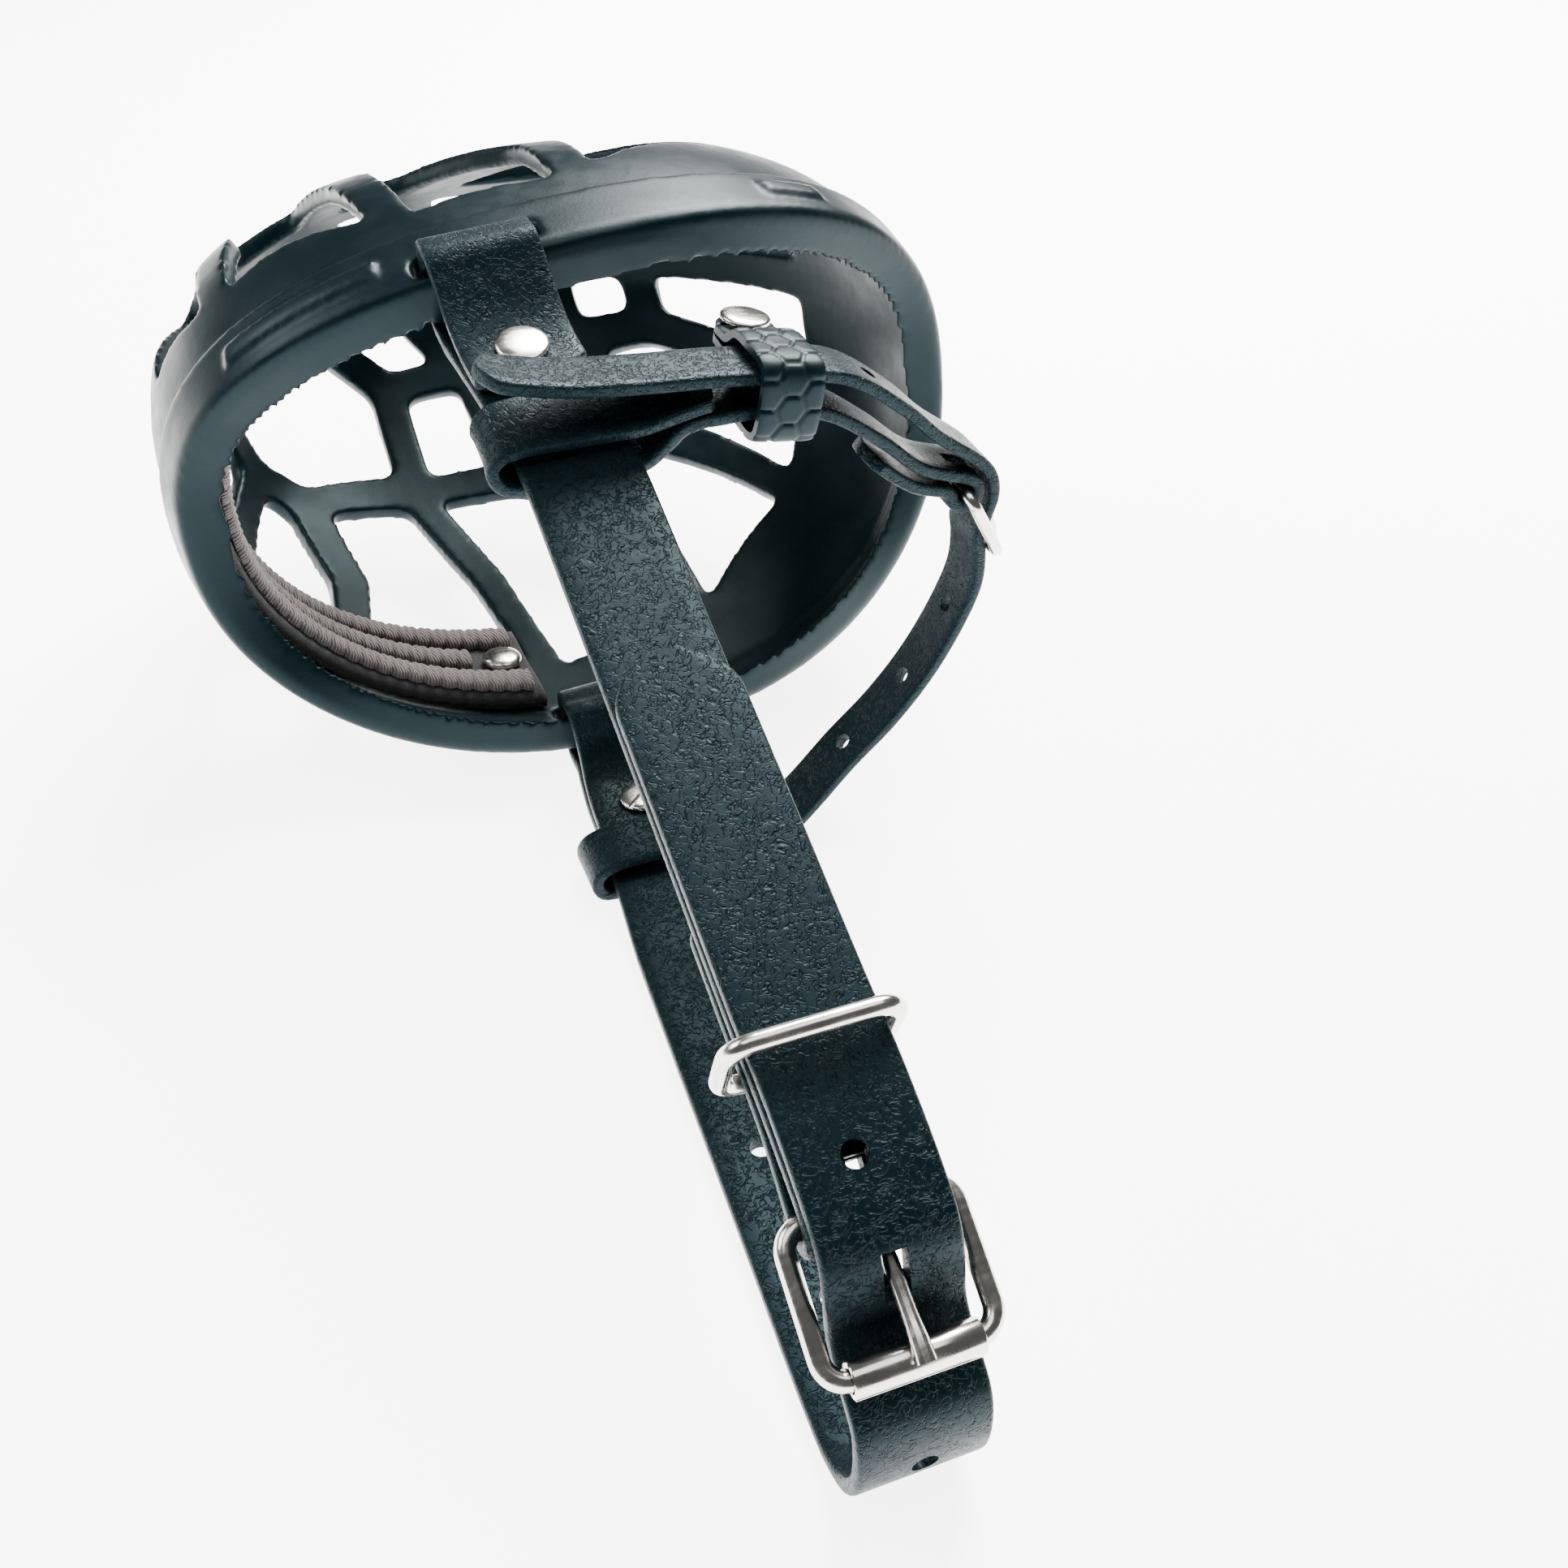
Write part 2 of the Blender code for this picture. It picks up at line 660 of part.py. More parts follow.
def build_neck_tail_strap():
    """From the tab under the collar, through the left slot, along the floor, up and through the buckle."""
    floor = STRAP_THICKNESS / 2
    lifted = floor + SCREW_HEAD + GAP + 0.05
    tab = world([(-5.2, -54.5, lifted), (-4.9, -46.0, lifted), (-4.0, -38.0, lifted - 0.3)])
    strand = world([
        (-3.8, -37.5, 9.0), (-4.3, -42.5, lifted + LAYER + 0.8), (-4.8, -47.5, lifted + LAYER),
        (-5.3, -54.0, lifted + LAYER), (-6.0, -61.0, 3.9), (-6.6, -68.0, 3.6), (-7.6, -82.0, floor),
        (-8.6, -100.0, floor), (-10.4, -135.0, floor), (-11.8, -160.0, floor),
        (-12.1, -169.0, floor), (-12.1, -175.0, 3.4), (-12.1, -178.2, 8.4), (-12.1, -179.0, 14.0),
        (-12.0, -177.8, 18.6),
    ])
    through = [
        buckle_point(17.5, -(ROLLER_DIAMETER / 2 + GAP + STRAP_THICKNESS / 2 + 0.1)),
        buckle_point(12.6, -2.2), buckle_point(9.0, 1.6), buckle_point(5.0, 5.0),
        buckle_point(-1.0, 5.7),
    ]
    top = world([
        (-12.3, -151.5, 46.2), (-12.7, -141.2, 50.7), (-12.9, -121.0, 58.6), (-13.1, -98.0, 67.2),
        (-13.1, -95.0, 68.3),
    ])
    turn = slot_turn(-1, TAB_OUT_LEFT)
    path = tab + turn + strand + through + top
    fine = kept_off_floor(smooth_path(path, 2), floor)
    across = blended_across(fine, 24.0, 42.0)
    scale = [1.0] * len(fine)
    for i, value in enumerate((0.62, 0.86)):
        scale[i] = value
    for i, value in enumerate((0.3, 0.75, 0.92, 1.0)):
        scale[-1 - i] = value
    strap = ribbon(
        "neck_tail_strap", fine, across, NECK_WIDTH, STRAP_THICKNESS, LEATHER, scale
    )
    axes = (Vector((1, 0, 0)), BUCKLE_ALONG, BUCKLE_NORMAL)
    prong_slot = box("slot", buckle_point(7.6, 3.4), (3.0, 12.0, 4.4), axes, LEATHER)
    combine(strap, prong_slot, "DIFFERENCE")
    up = Vector((0, 0, 1))
    for y in (-150.0, -137.0, -124.0):
        punch(strap, Vector((-11.2, y, floor)), up, HOLE_DIAMETER / 2, 2.5)
    punch(strap, Vector((-12.1, -178.6, 10.5)), Vector((0, 1, 0)), HOLE_DIAMETER / 2, 3.0)
    punch(strap, Vector((-13.0, -159.0, 42.0)), Vector((0, -0.5, 0.87)), HOLE_DIAMETER / 2, 1.6)
    return strap


def punch(target, centre, axis, radius, reach):
    """Cuts a round hole."""
    cutter = turned("hole", [(radius, -reach), (radius, reach)], centre, axis, LEATHER, 14)
    combine(target, cutter, "DIFFERENCE")


def buckle_point(along, height):
    """A point of the neck buckle: distance from the heel bar towards the roller, and height."""
    return HEEL_CENTRE + BUCKLE_ALONG * along + BUCKLE_NORMAL * height


SCREW_HEAD = 0.9
SCREW_RADIUS = 1.3


def screw(name, straps, centre, axis, below, above, head_below, head_above, origin=None):
    """A two-part screw through stacked straps: shank in clearance holes, a flat head each end."""
    axis = axis.normalized()
    for strap in straps:
        punch(strap, centre, axis, SCREW_RADIUS + 0.35, max(below, above) + 0.8)
    profile = [(SCREW_RADIUS, -below), (SCREW_RADIUS, above)]
    if head_below:
        profile = [
            (head_below - 0.4, -below - SCREW_HEAD), (head_below, -below - SCREW_HEAD * 0.6),
            (head_below, -below),
        ] + profile
    if head_above:
        profile += [
            (head_above, above), (head_above, above + SCREW_HEAD * 0.6),
            (head_above - 0.5, above + SCREW_HEAD), (head_above * 0.4, above + SCREW_HEAD + 0.15),
        ]
    return turned(name, profile, centre, axis, NICKEL, 16, False, origin)


def add_neck_screws(buckle_strap, tail_strap):
    half = LAYER / 2 + STRAP_THICKNESS / 2 + GAP
    upper_axis = Vector((0.0, -0.24, 0.971))
    screw("neck_screw_right", [buckle_strap], Vector((-15.7, -41.0, 84.95)), upper_axis,
          half + 0.45, half + 0.45, 3.2, 3.9)
    screw("neck_screw_left", [tail_strap], Vector((-5.0, -49.5, 1.1 + SCREW_HEAD + GAP + 0.05 + LAYER / 2)),
          Vector((0, 0, 1)), half, half, 3.2, 3.6)
    heel_axis = Vector((0.0, -0.37, 0.93))
    screw("neck_screw_heel", [buckle_strap], Vector((-12.8, -131.0, 50.2)), heel_axis,
          half, LAYER / 2 + STRAP_THICKNESS / 2 - 0.1, 3.2, 0.0)


def loop_path(centre, first, second, half_first, half_second, corner, steps=4):
    """Closed rounded rectangle in the plane of two unit vectors."""
    out = []
    for k, (a, b) in enumerate(((1, 1), (-1, 1), (-1, -1), (1, -1))):
        for j in range(steps + 1):
            angle = math.pi / 2 * (k + j / steps)
            out.append(
                centre
                + first * (a * (half_first - corner) + corner * math.cos(angle))
                + second * (b * (half_second - corner) + corner * math.sin(angle))
            )
    return out


def build_neck_buckle():
    level = Vector((1, 0, 0))
    length = (ROLLER_CENTRE - HEEL_CENTRE).length
    centre = (ROLLER_CENTRE + HEEL_CENTRE) / 2
    half_width = (BUCKLE_INSIDE_WIDTH + WIRE) / 2
    outline = loop_path(centre, level, BUCKLE_ALONG, half_width, length / 2, 2.4)
    rod("neck_buckle_frame", outline, WIRE / 2, NICKEL, 8, True, HEEL_CENTRE)
    bore = WIRE / 2 + 0.25
    outer = ROLLER_DIAMETER / 2
    half = half_width - 2.6
    profile = [(bore, -half), (outer, -half), (outer, half), (bore, half)]
    turned("neck_buckle_roller", profile, ROLLER_CENTRE, level, NICKEL, 20, True, ROLLER_CENTRE)
    prong_radius = 1.0
    ring = WIRE / 2 + GAP + prong_radius
    path = [heel_point(ring, degrees) for degrees in range(-285, 1, 30)]
    path.append(heel_point(ring, 0))
    path += [
        buckle_point(5.0, ring + 0.1), buckle_point(11.0, ring + 0.5),
        buckle_point(17.0, outer + GAP + prong_radius + 0.1),
        buckle_point(20.0, outer + GAP + prong_radius - 0.6),
    ]
    rod("neck_buckle_prong", path, prong_radius, NICKEL, 8, False, HEEL_CENTRE)


KEEPER_CENTRE = Vector((-12.8, -145.0, 45.6))
STRAND_SLOPE = Vector((0.0, -0.927, -0.375))


def build_neck_keeper():
    across = Vector((1, 0, 0))
    normal = across.cross(STRAND_SLOPE).normalized() * -1.0
    outline = loop_path(KEEPER_CENTRE, across, normal, 10.5, 6.3, 2.6)
    rod("neck_keeper_ring", outline, 1.35, NICKEL, 8, True, KEEPER_CENTRE)


# ---------------------------------------------------------------- throat strap

THROAT_Y = -56.0
LOWER_SLEEVE_Y = -61.0
UPPER_SLEEVE = Vector((-13.6, THROAT_Y, 79.7))
THROAT_LAYER = THROAT_THICKNESS + GAP
THROAT_HEEL = Vector((47.2, THROAT_Y, 60.4))
THROAT_FRONT = Vector((52.8, THROAT_Y, 49.4))
THROAT_WIRE = 2.0
THROAT_ALONG = (THROAT_FRONT - THROAT_HEEL).normalized()
THROAT_OUT = Vector((THROAT_ALONG.z * -1.0, 0.0, THROAT_ALONG.x))


def throat_point(along, height):
    """A point of the throat buckle: distance from its heel bar to the front bar, and height outwards."""
    return THROAT_HEEL + THROAT_ALONG * along + THROAT_OUT * height


def throat_heel_point(radius, degrees):
    angle = math.radians(degrees)
    return THROAT_HEEL + (THROAT_OUT * math.cos(angle) + THROAT_ALONG * math.sin(angle)) * radius


def plane_path(spots, y_of_x=lambda x: THROAT_Y):
    """Points from (x, z) pairs in the plane of the throat loop, or off it by a rule."""
    return [Vector((x, y_of_x(x), z)) for x, z in spots]


def throat_across(path, sleeve_direction=Vector((0.0, 1.0, 0.0))):
    """Width directions: along the neck strap at the sleeve, straight along Y in the loop."""
    level = Vector((0.0, 1.0, 0.0))
    twist_start = -3.5
    twist_end = 5.5
    out = []
    for point in path:
        share = (point.x - twist_start) / (twist_end - twist_start)
        share = min(1.0, max(0.0, share))
        out.append((sleeve_direction * (1 - share) + level * share).normalized())
    return out


def build_throat_buckle_strap():
    """Sleeve round the upper neck strand, then the short length that holds the throat buckle."""
    x, z = UPPER_SLEEVE.x, UPPER_SLEEVE.z
    reach = NECK_WIDTH / 2
    sleeve = plane_path([
        (7.5, z + 3.4), (2.0, z + 3.3), (-2.6, z + 3.0), (x + reach - 1.0, z + 2.9), (x, z + 3.0),
        (x - reach + 1.0, z + 3.0), (x - reach - 2.0, z + 2.2), (x - reach - 3.2, z),
        (x - reach - 2.0, z - 2.2), (x - reach + 1.0, z - 3.0), (x, z - 3.0), (x + reach + 0.4, z - 2.8),
        (-0.8, z - 0.8), (2.0, z + 1.0), (7.5, z + 1.1),
    ])
    run = plane_path([(15.0, z + 0.9), (24.0, z - 1.4), (32.6, z - 7.4), (39.8, z - 13.6)])
    heel = [
        throat_heel_point(2.4, -40), throat_heel_point(2.4, 0), throat_heel_point(2.4, 50),
        throat_heel_point(2.4, 90), throat_heel_point(2.4, 130), throat_heel_point(2.4, 180),
        throat_heel_point(2.4, 215),
    ]
    back = plane_path([(38.4, z - 16.4), (31.6, z - 11.0)])
    path = smooth_path(sleeve + run + heel + back, 2)
    across = throat_across(path, Vector((0.0, 0.939, 0.344)))
    strap = ribbon("throat_buckle_strap", path, across, THROAT_WIDTH, THROAT_THICKNESS, LEATHER)
    axes = (Vector((0, 1, 0)), THROAT_ALONG, THROAT_OUT)
    combine(strap, box("slot", throat_point(0.2, 0.0), (2.8, 10.4, 8.4), axes, LEATHER), "DIFFERENCE")
    return strap


def build_throat_tail_strap():
    """Sleeve round the lower neck strand, then the holed length through buckle and keeper."""
    x, z = -6.3, 3.8
    reach = NECK_WIDTH / 2

    def swing(px):
        share = min(1.0, max(0.0, (px - 6.0) / 20.0))
        return LOWER_SLEEVE_Y + (THROAT_Y - LOWER_SLEEVE_Y) * share

    half = THROAT_THICKNESS / 2
    sleeve = plane_path([
        (13.0, half + THROAT_LAYER + 0.5), (9.0, half + THROAT_LAYER + 0.5), (5.8, z + 1.2),
        (x + reach + 0.1, z + 3.5), (x, z + 3.5), (x - reach + 1.0, z + 3.2), (x - reach - 2.0, z + 2.0),
        (x - reach - 2.8, z - 0.2), (x - reach - 1.8, half + 0.5), (x - reach + 1.0, half),
        (x, half), (x + reach, half), (9.0, half + 0.4), (13.0, half + 0.5),
    ], swing)
    run = plane_path([
        (17.0, 2.6), (22.0, 5.6), (29.0, 11.8), (36.3, 18.8), (42.8, 27.0), (47.8, 36.0),
        (50.4, 43.0),
    ], swing)
    through = [
        throat_point(12.3, -2.4), throat_point(9.0, -1.2), throat_point(6.2, 1.4),
        throat_point(3.2, 4.0), throat_point(-1.0, 4.9),
    ]
    top = plane_path([
        (42.0, 71.2), (36.5, 76.6), (27.0, 83.4), (17.0, 85.4), (8.0, 86.6), (-3.0, 87.6),
        (-14.0, 89.0), (-22.0, 91.0), (-25.5, 92.2),
    ])
    path = kept_off_floor(smooth_path(sleeve + run + through + top, 2), half)
    scale = [1.0] * len(path)
    for i, value in enumerate((0.45, 0.85)):
        scale[-1 - i] = value
    strap = ribbon(
        "throat_tail_strap", path, throat_across(path), THROAT_WIDTH, THROAT_THICKNESS, LEATHER,
        scale,
    )
    axes = (Vector((0, 1, 0)), THROAT_ALONG, THROAT_OUT)
    combine(strap, box("slot", throat_point(4.6, 2.9), (2.4, 9.0, 3.4), axes, LEATHER), "DIFFERENCE")
    for hx, hz, ax, az in ((30.0, 12.8, -0.67, 0.74), (40.6, 24.1, -0.76, 0.65), (48.1, 36.8, -0.9, 0.43)):
        punch(strap, Vector((hx, THROAT_Y, hz)), Vector((ax, 0, az)), 1.4, 2.0)
    punch(strap, Vector((31.8, THROAT_Y, 81.0)), Vector((0.55, 0, 0.83)), 1.4, 1.6)
    return strap


def add_throat_screws(buckle_strap, tail_strap):
    half = THROAT_LAYER / 2 + THROAT_THICKNESS / 2 + GAP
    screw("throat_screw_upper", [buckle_strap], Vector((4.8, THROAT_Y, UPPER_SLEEVE.z + 2.25)),
          Vector((0, -0.03, 1)), half, half - 0.55, 3.0, 0.0)
    screw("throat_screw_lower", [tail_strap], Vector((10.9, LOWER_SLEEVE_Y + 0.6, 2.9)),
          Vector((0, 0, 1)), half - 0.55, half + 0.1, 0.0, 3.0)


def build_throat_buckle():
    level = Vector((0, 1, 0))
    length = (THROAT_FRONT - THROAT_HEEL).length
    centre = (THROAT_FRONT + THROAT_HEEL) / 2
    half_width = THROAT_WIDTH / 2 + 0.8 + THROAT_WIRE / 2
    outline = loop_path(centre, level, THROAT_ALONG, half_width, length / 2, 1.8)
    rod("throat_buckle_frame", outline, THROAT_WIRE / 2, NICKEL, 8, True, THROAT_HEEL)
    prong_radius = 0.8
    ring = THROAT_WIRE / 2 + GAP + prong_radius
    path = [throat_heel_point(ring, degrees) for degrees in range(-285, 1, 30)]
    path.append(throat_heel_point(ring, 0))
    path += [
        throat_point(4.0, ring + 0.1), throat_point(8.0, ring + 0.2), throat_point(12.3, ring + 0.1),
        throat_point(14.6, ring - 0.4),
    ]
    rod("throat_buckle_prong", path, prong_radius, NICKEL, 8, False, THROAT_HEEL)


THROAT_KEEPER_CENTRE = Vector((17.0, THROAT_Y, 82.4))
THROAT_KEEPER_ALONG = Vector((0.985, 0.0, -0.17)).normalized()
KEEPER_THICKNESS = 1.8
KEEPER_WIDTH = 9.0


def build_throat_keeper():
    """Rubber loop round both throat straps, its ends pinched together by a screw."""
    across = Vector((0, 1, 0))
    normal = THROAT_KEEPER_ALONG.cross(across)
    path = loop_path(THROAT_KEEPER_CENTRE, across, normal, THROAT_WIDTH / 2 + 2.0, 5.7, 2.4, 3)
    rings = []
    for i, point in enumerate(path):
        tangent = (path[(i + 1) % len(path)] - path[i - 1]).normalized()
        outward = tangent.cross(THROAT_KEEPER_ALONG)
        section = rectangle(KEEPER_WIDTH, KEEPER_THICKNESS)
        rings.append([point + THROAT_KEEPER_ALONG * a + outward * b for a, b in section])
    vertices, faces = sweep_rings(rings, True)
    keeper = add_object("throat_keeper", vertices, faces, RUBBER, False, THROAT_KEEPER_CENTRE)
    flap_centre = THROAT_KEEPER_CENTRE + across * 12.2 + normal * 2.2
    axes = (THROAT_KEEPER_ALONG, across, normal)
    combine(keeper, box("flap", flap_centre, (KEEPER_WIDTH, 11.0, 3.4), axes, RUBBER), "UNION")
    centre = flap_centre + across * 0.9
    screw("throat_keeper_screw", [keeper], centre, normal, 1.7 + GAP, 1.7 + GAP, 3.4, 3.8,
          THROAT_KEEPER_CENTRE)


# ---------------------------------------------------------------- joints


def pivot(name, place, nodes):
    """Parents the pieces that move together to an empty on their joint's axis."""
    empty = bpy.data.objects.new(name, None)
    empty.location = (place - FOOTPRINT_CENTRE) * MM
    bpy.context.scene.collection.objects.link(empty)
    bpy.context.view_layer.update()
    for node in nodes:
        piece = bpy.data.objects[node]
        piece.parent = empty
        piece.matrix_parent_inverse = empty.matrix_world.inverted()


def add_pivots():
    pivot("neck_strap_pivot", slot_point(1, SLOT_Y, RIM_HALF_HEIGHT), [
        "neck_buckle_strap", "neck_tail_strap",
        "neck_screw_right", "neck_screw_left", "neck_screw_heel",
    ])
    pivot("throat_strap_pivot", UPPER_SLEEVE, [
        "throat_buckle_strap", "throat_tail_strap", "throat_screw_upper", "throat_screw_lower",
    ])


def clear_scene():
    for thing in list(bpy.data.objects):
        bpy.data.objects.remove(thing)


def main():
    build_basket()
    build_pad()
    neck_buckle_strap = build_neck_buckle_strap()
    neck_tail_strap = build_neck_tail_strap()
    add_neck_screws(neck_buckle_strap, neck_tail_strap)
    build_neck_buckle()
    build_neck_keeper()
    throat_buckle_strap = build_throat_buckle_strap()
    throat_tail_strap = build_throat_tail_strap()
    add_throat_screws(throat_buckle_strap, throat_tail_strap)
    build_throat_buckle()
    build_throat_keeper()
    add_pivots()


clear_scene()
main()
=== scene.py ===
"""Looks of the basket muzzle.

Lengths are millimetres, measured as in the CAD model: from the middle of the rim, above the floor, with
+Y towards the nose. to_row() moves a point to the row frame, in metres.
"""

import math

import bmesh
import bpy
from mathutils import Matrix, Vector
from mathutils.geometry import delaunay_2d_cdt


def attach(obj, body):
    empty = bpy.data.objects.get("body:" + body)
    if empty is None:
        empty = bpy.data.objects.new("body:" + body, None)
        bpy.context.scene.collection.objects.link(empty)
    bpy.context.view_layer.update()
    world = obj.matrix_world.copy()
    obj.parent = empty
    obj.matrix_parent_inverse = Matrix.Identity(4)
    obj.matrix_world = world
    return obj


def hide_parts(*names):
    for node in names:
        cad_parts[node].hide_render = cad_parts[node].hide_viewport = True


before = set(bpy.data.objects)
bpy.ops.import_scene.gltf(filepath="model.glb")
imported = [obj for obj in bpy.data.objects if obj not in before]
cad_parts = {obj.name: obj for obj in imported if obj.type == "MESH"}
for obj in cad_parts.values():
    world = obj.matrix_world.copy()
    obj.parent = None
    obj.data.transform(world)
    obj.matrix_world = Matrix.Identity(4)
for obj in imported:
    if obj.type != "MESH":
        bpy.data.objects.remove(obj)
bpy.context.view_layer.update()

MM = 0.001
FOOTPRINT_CENTRE = Vector((-0.5, -48.3, -0.08))

# Basket, as in the CAD model.
RIM_HALF_WIDTH = 65.9
RIM_HALF_HEIGHT = 44.4
BASKET_LENGTH = 95.0
CHEEK_REACH = 18.2
SECTION_POWER = 2.31
CHIN_FULLNESS = 0.04
NOSE_TAPER = 0.23
SIDE_BULGE = 0.05
CHEEK_BULGE = 0.20
FLOOR_BULGE = 0.03
BRIDGE_SHIFT = 3.0
BASKET_ROLL = math.radians(4.0)
BASKET_PITCH = math.radians(2.75)
BASKET_YAW = math.radians(-0.9)
BASKET_CENTRE = Vector((-0.3, -11.2, 49.2))
LATTICE_TWIST = math.radians(4.0)

SHELL_THICKNESS = 3.4
COLLAR_DEPTH = 0.125
COLLAR_PROUD = 1.7
COLLAR_INSIDE = 3.6
LIP_INSIDE = 4.6
BAR_WIDTH = 7.8
WINDOW_CORNER = 2.8

SLOT_X = -9.7
SLOT_LEAN = 3.7
SLOT_Y = -12.7
SLOT_LENGTH = 19.4
SLOT_WIDTH = 4.6

GAP = 0.3
NECK_WIDTH = 17.0
STRAP_THICKNESS = 2.2
LAYER = STRAP_THICKNESS + GAP
THROAT_WIDTH = 10.0
THROAT_THICKNESS = 2.0

HEEL_CENTRE = Vector((-12.0, -160.5, 34.5))
ROLLER_CENTRE = Vector((-12.0, -175.5, 25.5))
WIRE = 2.6
ROLLER_DIAMETER = 4.4
BUCKLE_INSIDE_WIDTH = 18.6


def basket_axes():
    """Unit vectors of the basket's own frame: chin, nose and right cheek."""
    across = Vector((math.cos(BASKET_YAW), math.sin(BASKET_YAW), 0.0))
    upward = Vector((
        -math.sin(BASKET_YAW) * math.sin(BASKET_PITCH),
        math.cos(BASKET_YAW) * math.sin(BASKET_PITCH),
        math.cos(BASKET_PITCH),
    ))
    nose = upward.cross(across)
    chin = across * math.cos(BASKET_ROLL) + upward * math.sin(BASKET_ROLL)
    cheek = upward * math.cos(BASKET_ROLL) - across * math.sin(BASKET_ROLL)
    return chin, nose, cheek


CHIN, NOSE, CHEEK = basket_axes()


def from_basket(x, y, z):
    return BASKET_CENTRE + CHIN * x + NOSE * y + CHEEK * z


def to_row(point):
    """A point in millimetres from the middle of the rim, as metres in the row frame."""
    return (Vector(point) - FOOTPRINT_CENTRE) * MM


def slot_point(side, y, height):
    """A point in line with the right (1) or left (-1) strap slot, height out from the basket's middle."""
    return from_basket(SLOT_X - side * SLOT_LEAN, y, side * height)


def signed_power(value, power):
    return math.copysign(abs(value) ** power, value)


def shell_surface(angle, depth):
    """Outer surface of the basket, in its own frame: depth runs from 0 at the rim to 1 at the nose."""
    cosine = math.cos(angle)
    sine = math.sin(angle)
    closing = math.sqrt(max(0.0, 1.0 - depth ** 3))
    swell = math.sin(math.pi * min(depth / 0.8, 1.0))
    x = RIM_HALF_WIDTH * (1 + SIDE_BULGE * swell) * signed_power(cosine, 2 / SECTION_POWER)
    chin_side = x / RIM_HALF_WIDTH
    bulge = CHEEK_BULGE if sine > 0 else FLOOR_BULGE
    height = RIM_HALF_HEIGHT * (1 + bulge * swell) * (1 + CHIN_FULLNESS * chin_side)
    z = height * (1 - NOSE_TAPER * depth * (1 + chin_side)) * signed_power(sine, 2 / SECTION_POWER)
    rim_y = -CHEEK_REACH * sine * sine
    y = rim_y + (BASKET_LENGTH - rim_y) * depth
    return Vector((x * closing - BRIDGE_SHIFT * depth, y, z * closing))


def disk_surface(u, v):
    """The basket surface mapped from a flat disk whose centre is the nose tip and edge the rim."""
    radius = math.hypot(u, v)
    return shell_surface(math.atan2(v, u), 1.0 - radius * radius)


def to_disk(angle, depth):
    radius = math.sqrt(1.0 - depth)
    return Vector((radius * math.cos(angle), radius * math.sin(angle)))


def disk_normal(u, v):
    """Outward unit normal of the basket surface at a point of the disk."""
    step = 0.004
    along_u = disk_surface(u + step, v) - disk_surface(u - step, v)
    along_v = disk_surface(u, v + step) - disk_surface(u, v - step)
    return along_v.cross(along_u).normalized()


def offset_point(angle, depth, offset):
    """A point off the basket surface by offset, outwards when positive."""
    flat = to_disk(angle, max(depth, 0.004))
    point = shell_surface(angle, depth) + disk_normal(flat.x, flat.y) * offset
    return from_basket(*point)


# ---------------------------------------------------------------- mesh tools


def link(name, data):
    """An object holding the data, put in the scene."""
    thing = bpy.data.objects.new(name, data)
    bpy.context.scene.collection.objects.link(thing)
    return thing


def make_piece(name, points, faces, surface, smooth=True):
    """A mesh object from points in millimetres, with its faces turned outwards."""
    mesh = bpy.data.meshes.new(name)
    mesh.from_pydata([to_row(p) for p in points], [], faces)
    work = bmesh.new()
    work.from_mesh(mesh)
    bmesh.ops.recalc_face_normals(work, faces=work.faces)
    work.to_mesh(mesh)
    work.free()
    for face in mesh.polygons:
        face.use_smooth = smooth
    if surface:
        mesh.materials.append(surface)
    return link(name, mesh)


def bake_modifiers(piece):
    """Turns the piece's modifiers into plain mesh."""
    bpy.context.view_layer.update()
    shape = bpy.context.evaluated_depsgraph_get()
    result = bpy.data.meshes.new_from_object(piece.evaluated_get(shape))
    piece.modifiers.clear()
    piece.data = result


def cut(piece, cutter):
    """Takes the cutter's shape away from the piece."""
    change = piece.modifiers.new("cut", "BOOLEAN")
    change.operation = "DIFFERENCE"
    change.solver = "EXACT"
    change.object = cutter
    bake_modifiers(piece)
    bpy.data.objects.remove(cutter)


def join(first, others):
    """Puts the others' meshes into the first piece."""
    work = bmesh.new()
    for piece in [first] + others:
        work.from_mesh(piece.data)
    work.to_mesh(first.data)
    work.free()
    for piece in others:
        bpy.data.objects.remove(piece)


def shade_sharp(piece, degrees):
    """Smooth shading that keeps edges sharper than the angle."""
    piece.data.shade_smooth()
    piece.data.set_sharp_from_angle(angle=math.radians(degrees))


def sweep_rings(rings, closed_path=False):
    """Points and faces of a tube through equal rings of points, capped unless the path closes."""
    points = [point for ring in rings for point in ring]
    size = len(rings[0])
    count = len(rings)
    faces = []
    for i in range(count if closed_path else count - 1):
        here = i * size
        there = ((i + 1) % count) * size
        for j in range(size):
            k = (j + 1) % size
            faces.append((here + j, here + k, there + k, there + j))
    if not closed_path:
        faces.append(tuple(range(size)))
        faces.append(tuple(reversed(range((count - 1) * size, count * size))))
    return points, faces


def smooth_path(points, per_span):
    """Smooth curve through the points that doesn't overshoot where their spacing changes."""
    ends = [points[0] * 2 - points[1]] + points + [points[-1] * 2 - points[-2]]
    out = []
    for i in range(len(points) - 1):
        a, b, c, d = ends[i:i + 4]
        ta = 0.0
        tb = ta + math.sqrt((b - a).length)
        tc = tb + math.sqrt((c - b).length)
        td = tc + math.sqrt((d - c).length)
        for k in range(per_span):
            t = tb + (tc - tb) * k / per_span
            ab = a * ((tb - t) / (tb - ta)) + b * ((t - ta) / (tb - ta))
            bc = b * ((tc - t) / (tc - tb)) + c * ((t - tb) / (tc - tb))
            cd = c * ((td - t) / (td - tc)) + d * ((t - tc) / (td - tc))
            first = ab * ((tc - t) / (tc - ta)) + bc * ((t - ta) / (tc - ta))
            second = bc * ((td - t) / (td - tb)) + cd * ((t - tb) / (td - tb))
            out.append(first * ((tc - t) / (tc - tb)) + second * ((t - tb) / (tc - tb)))
    out.append(points[-1])
    return out


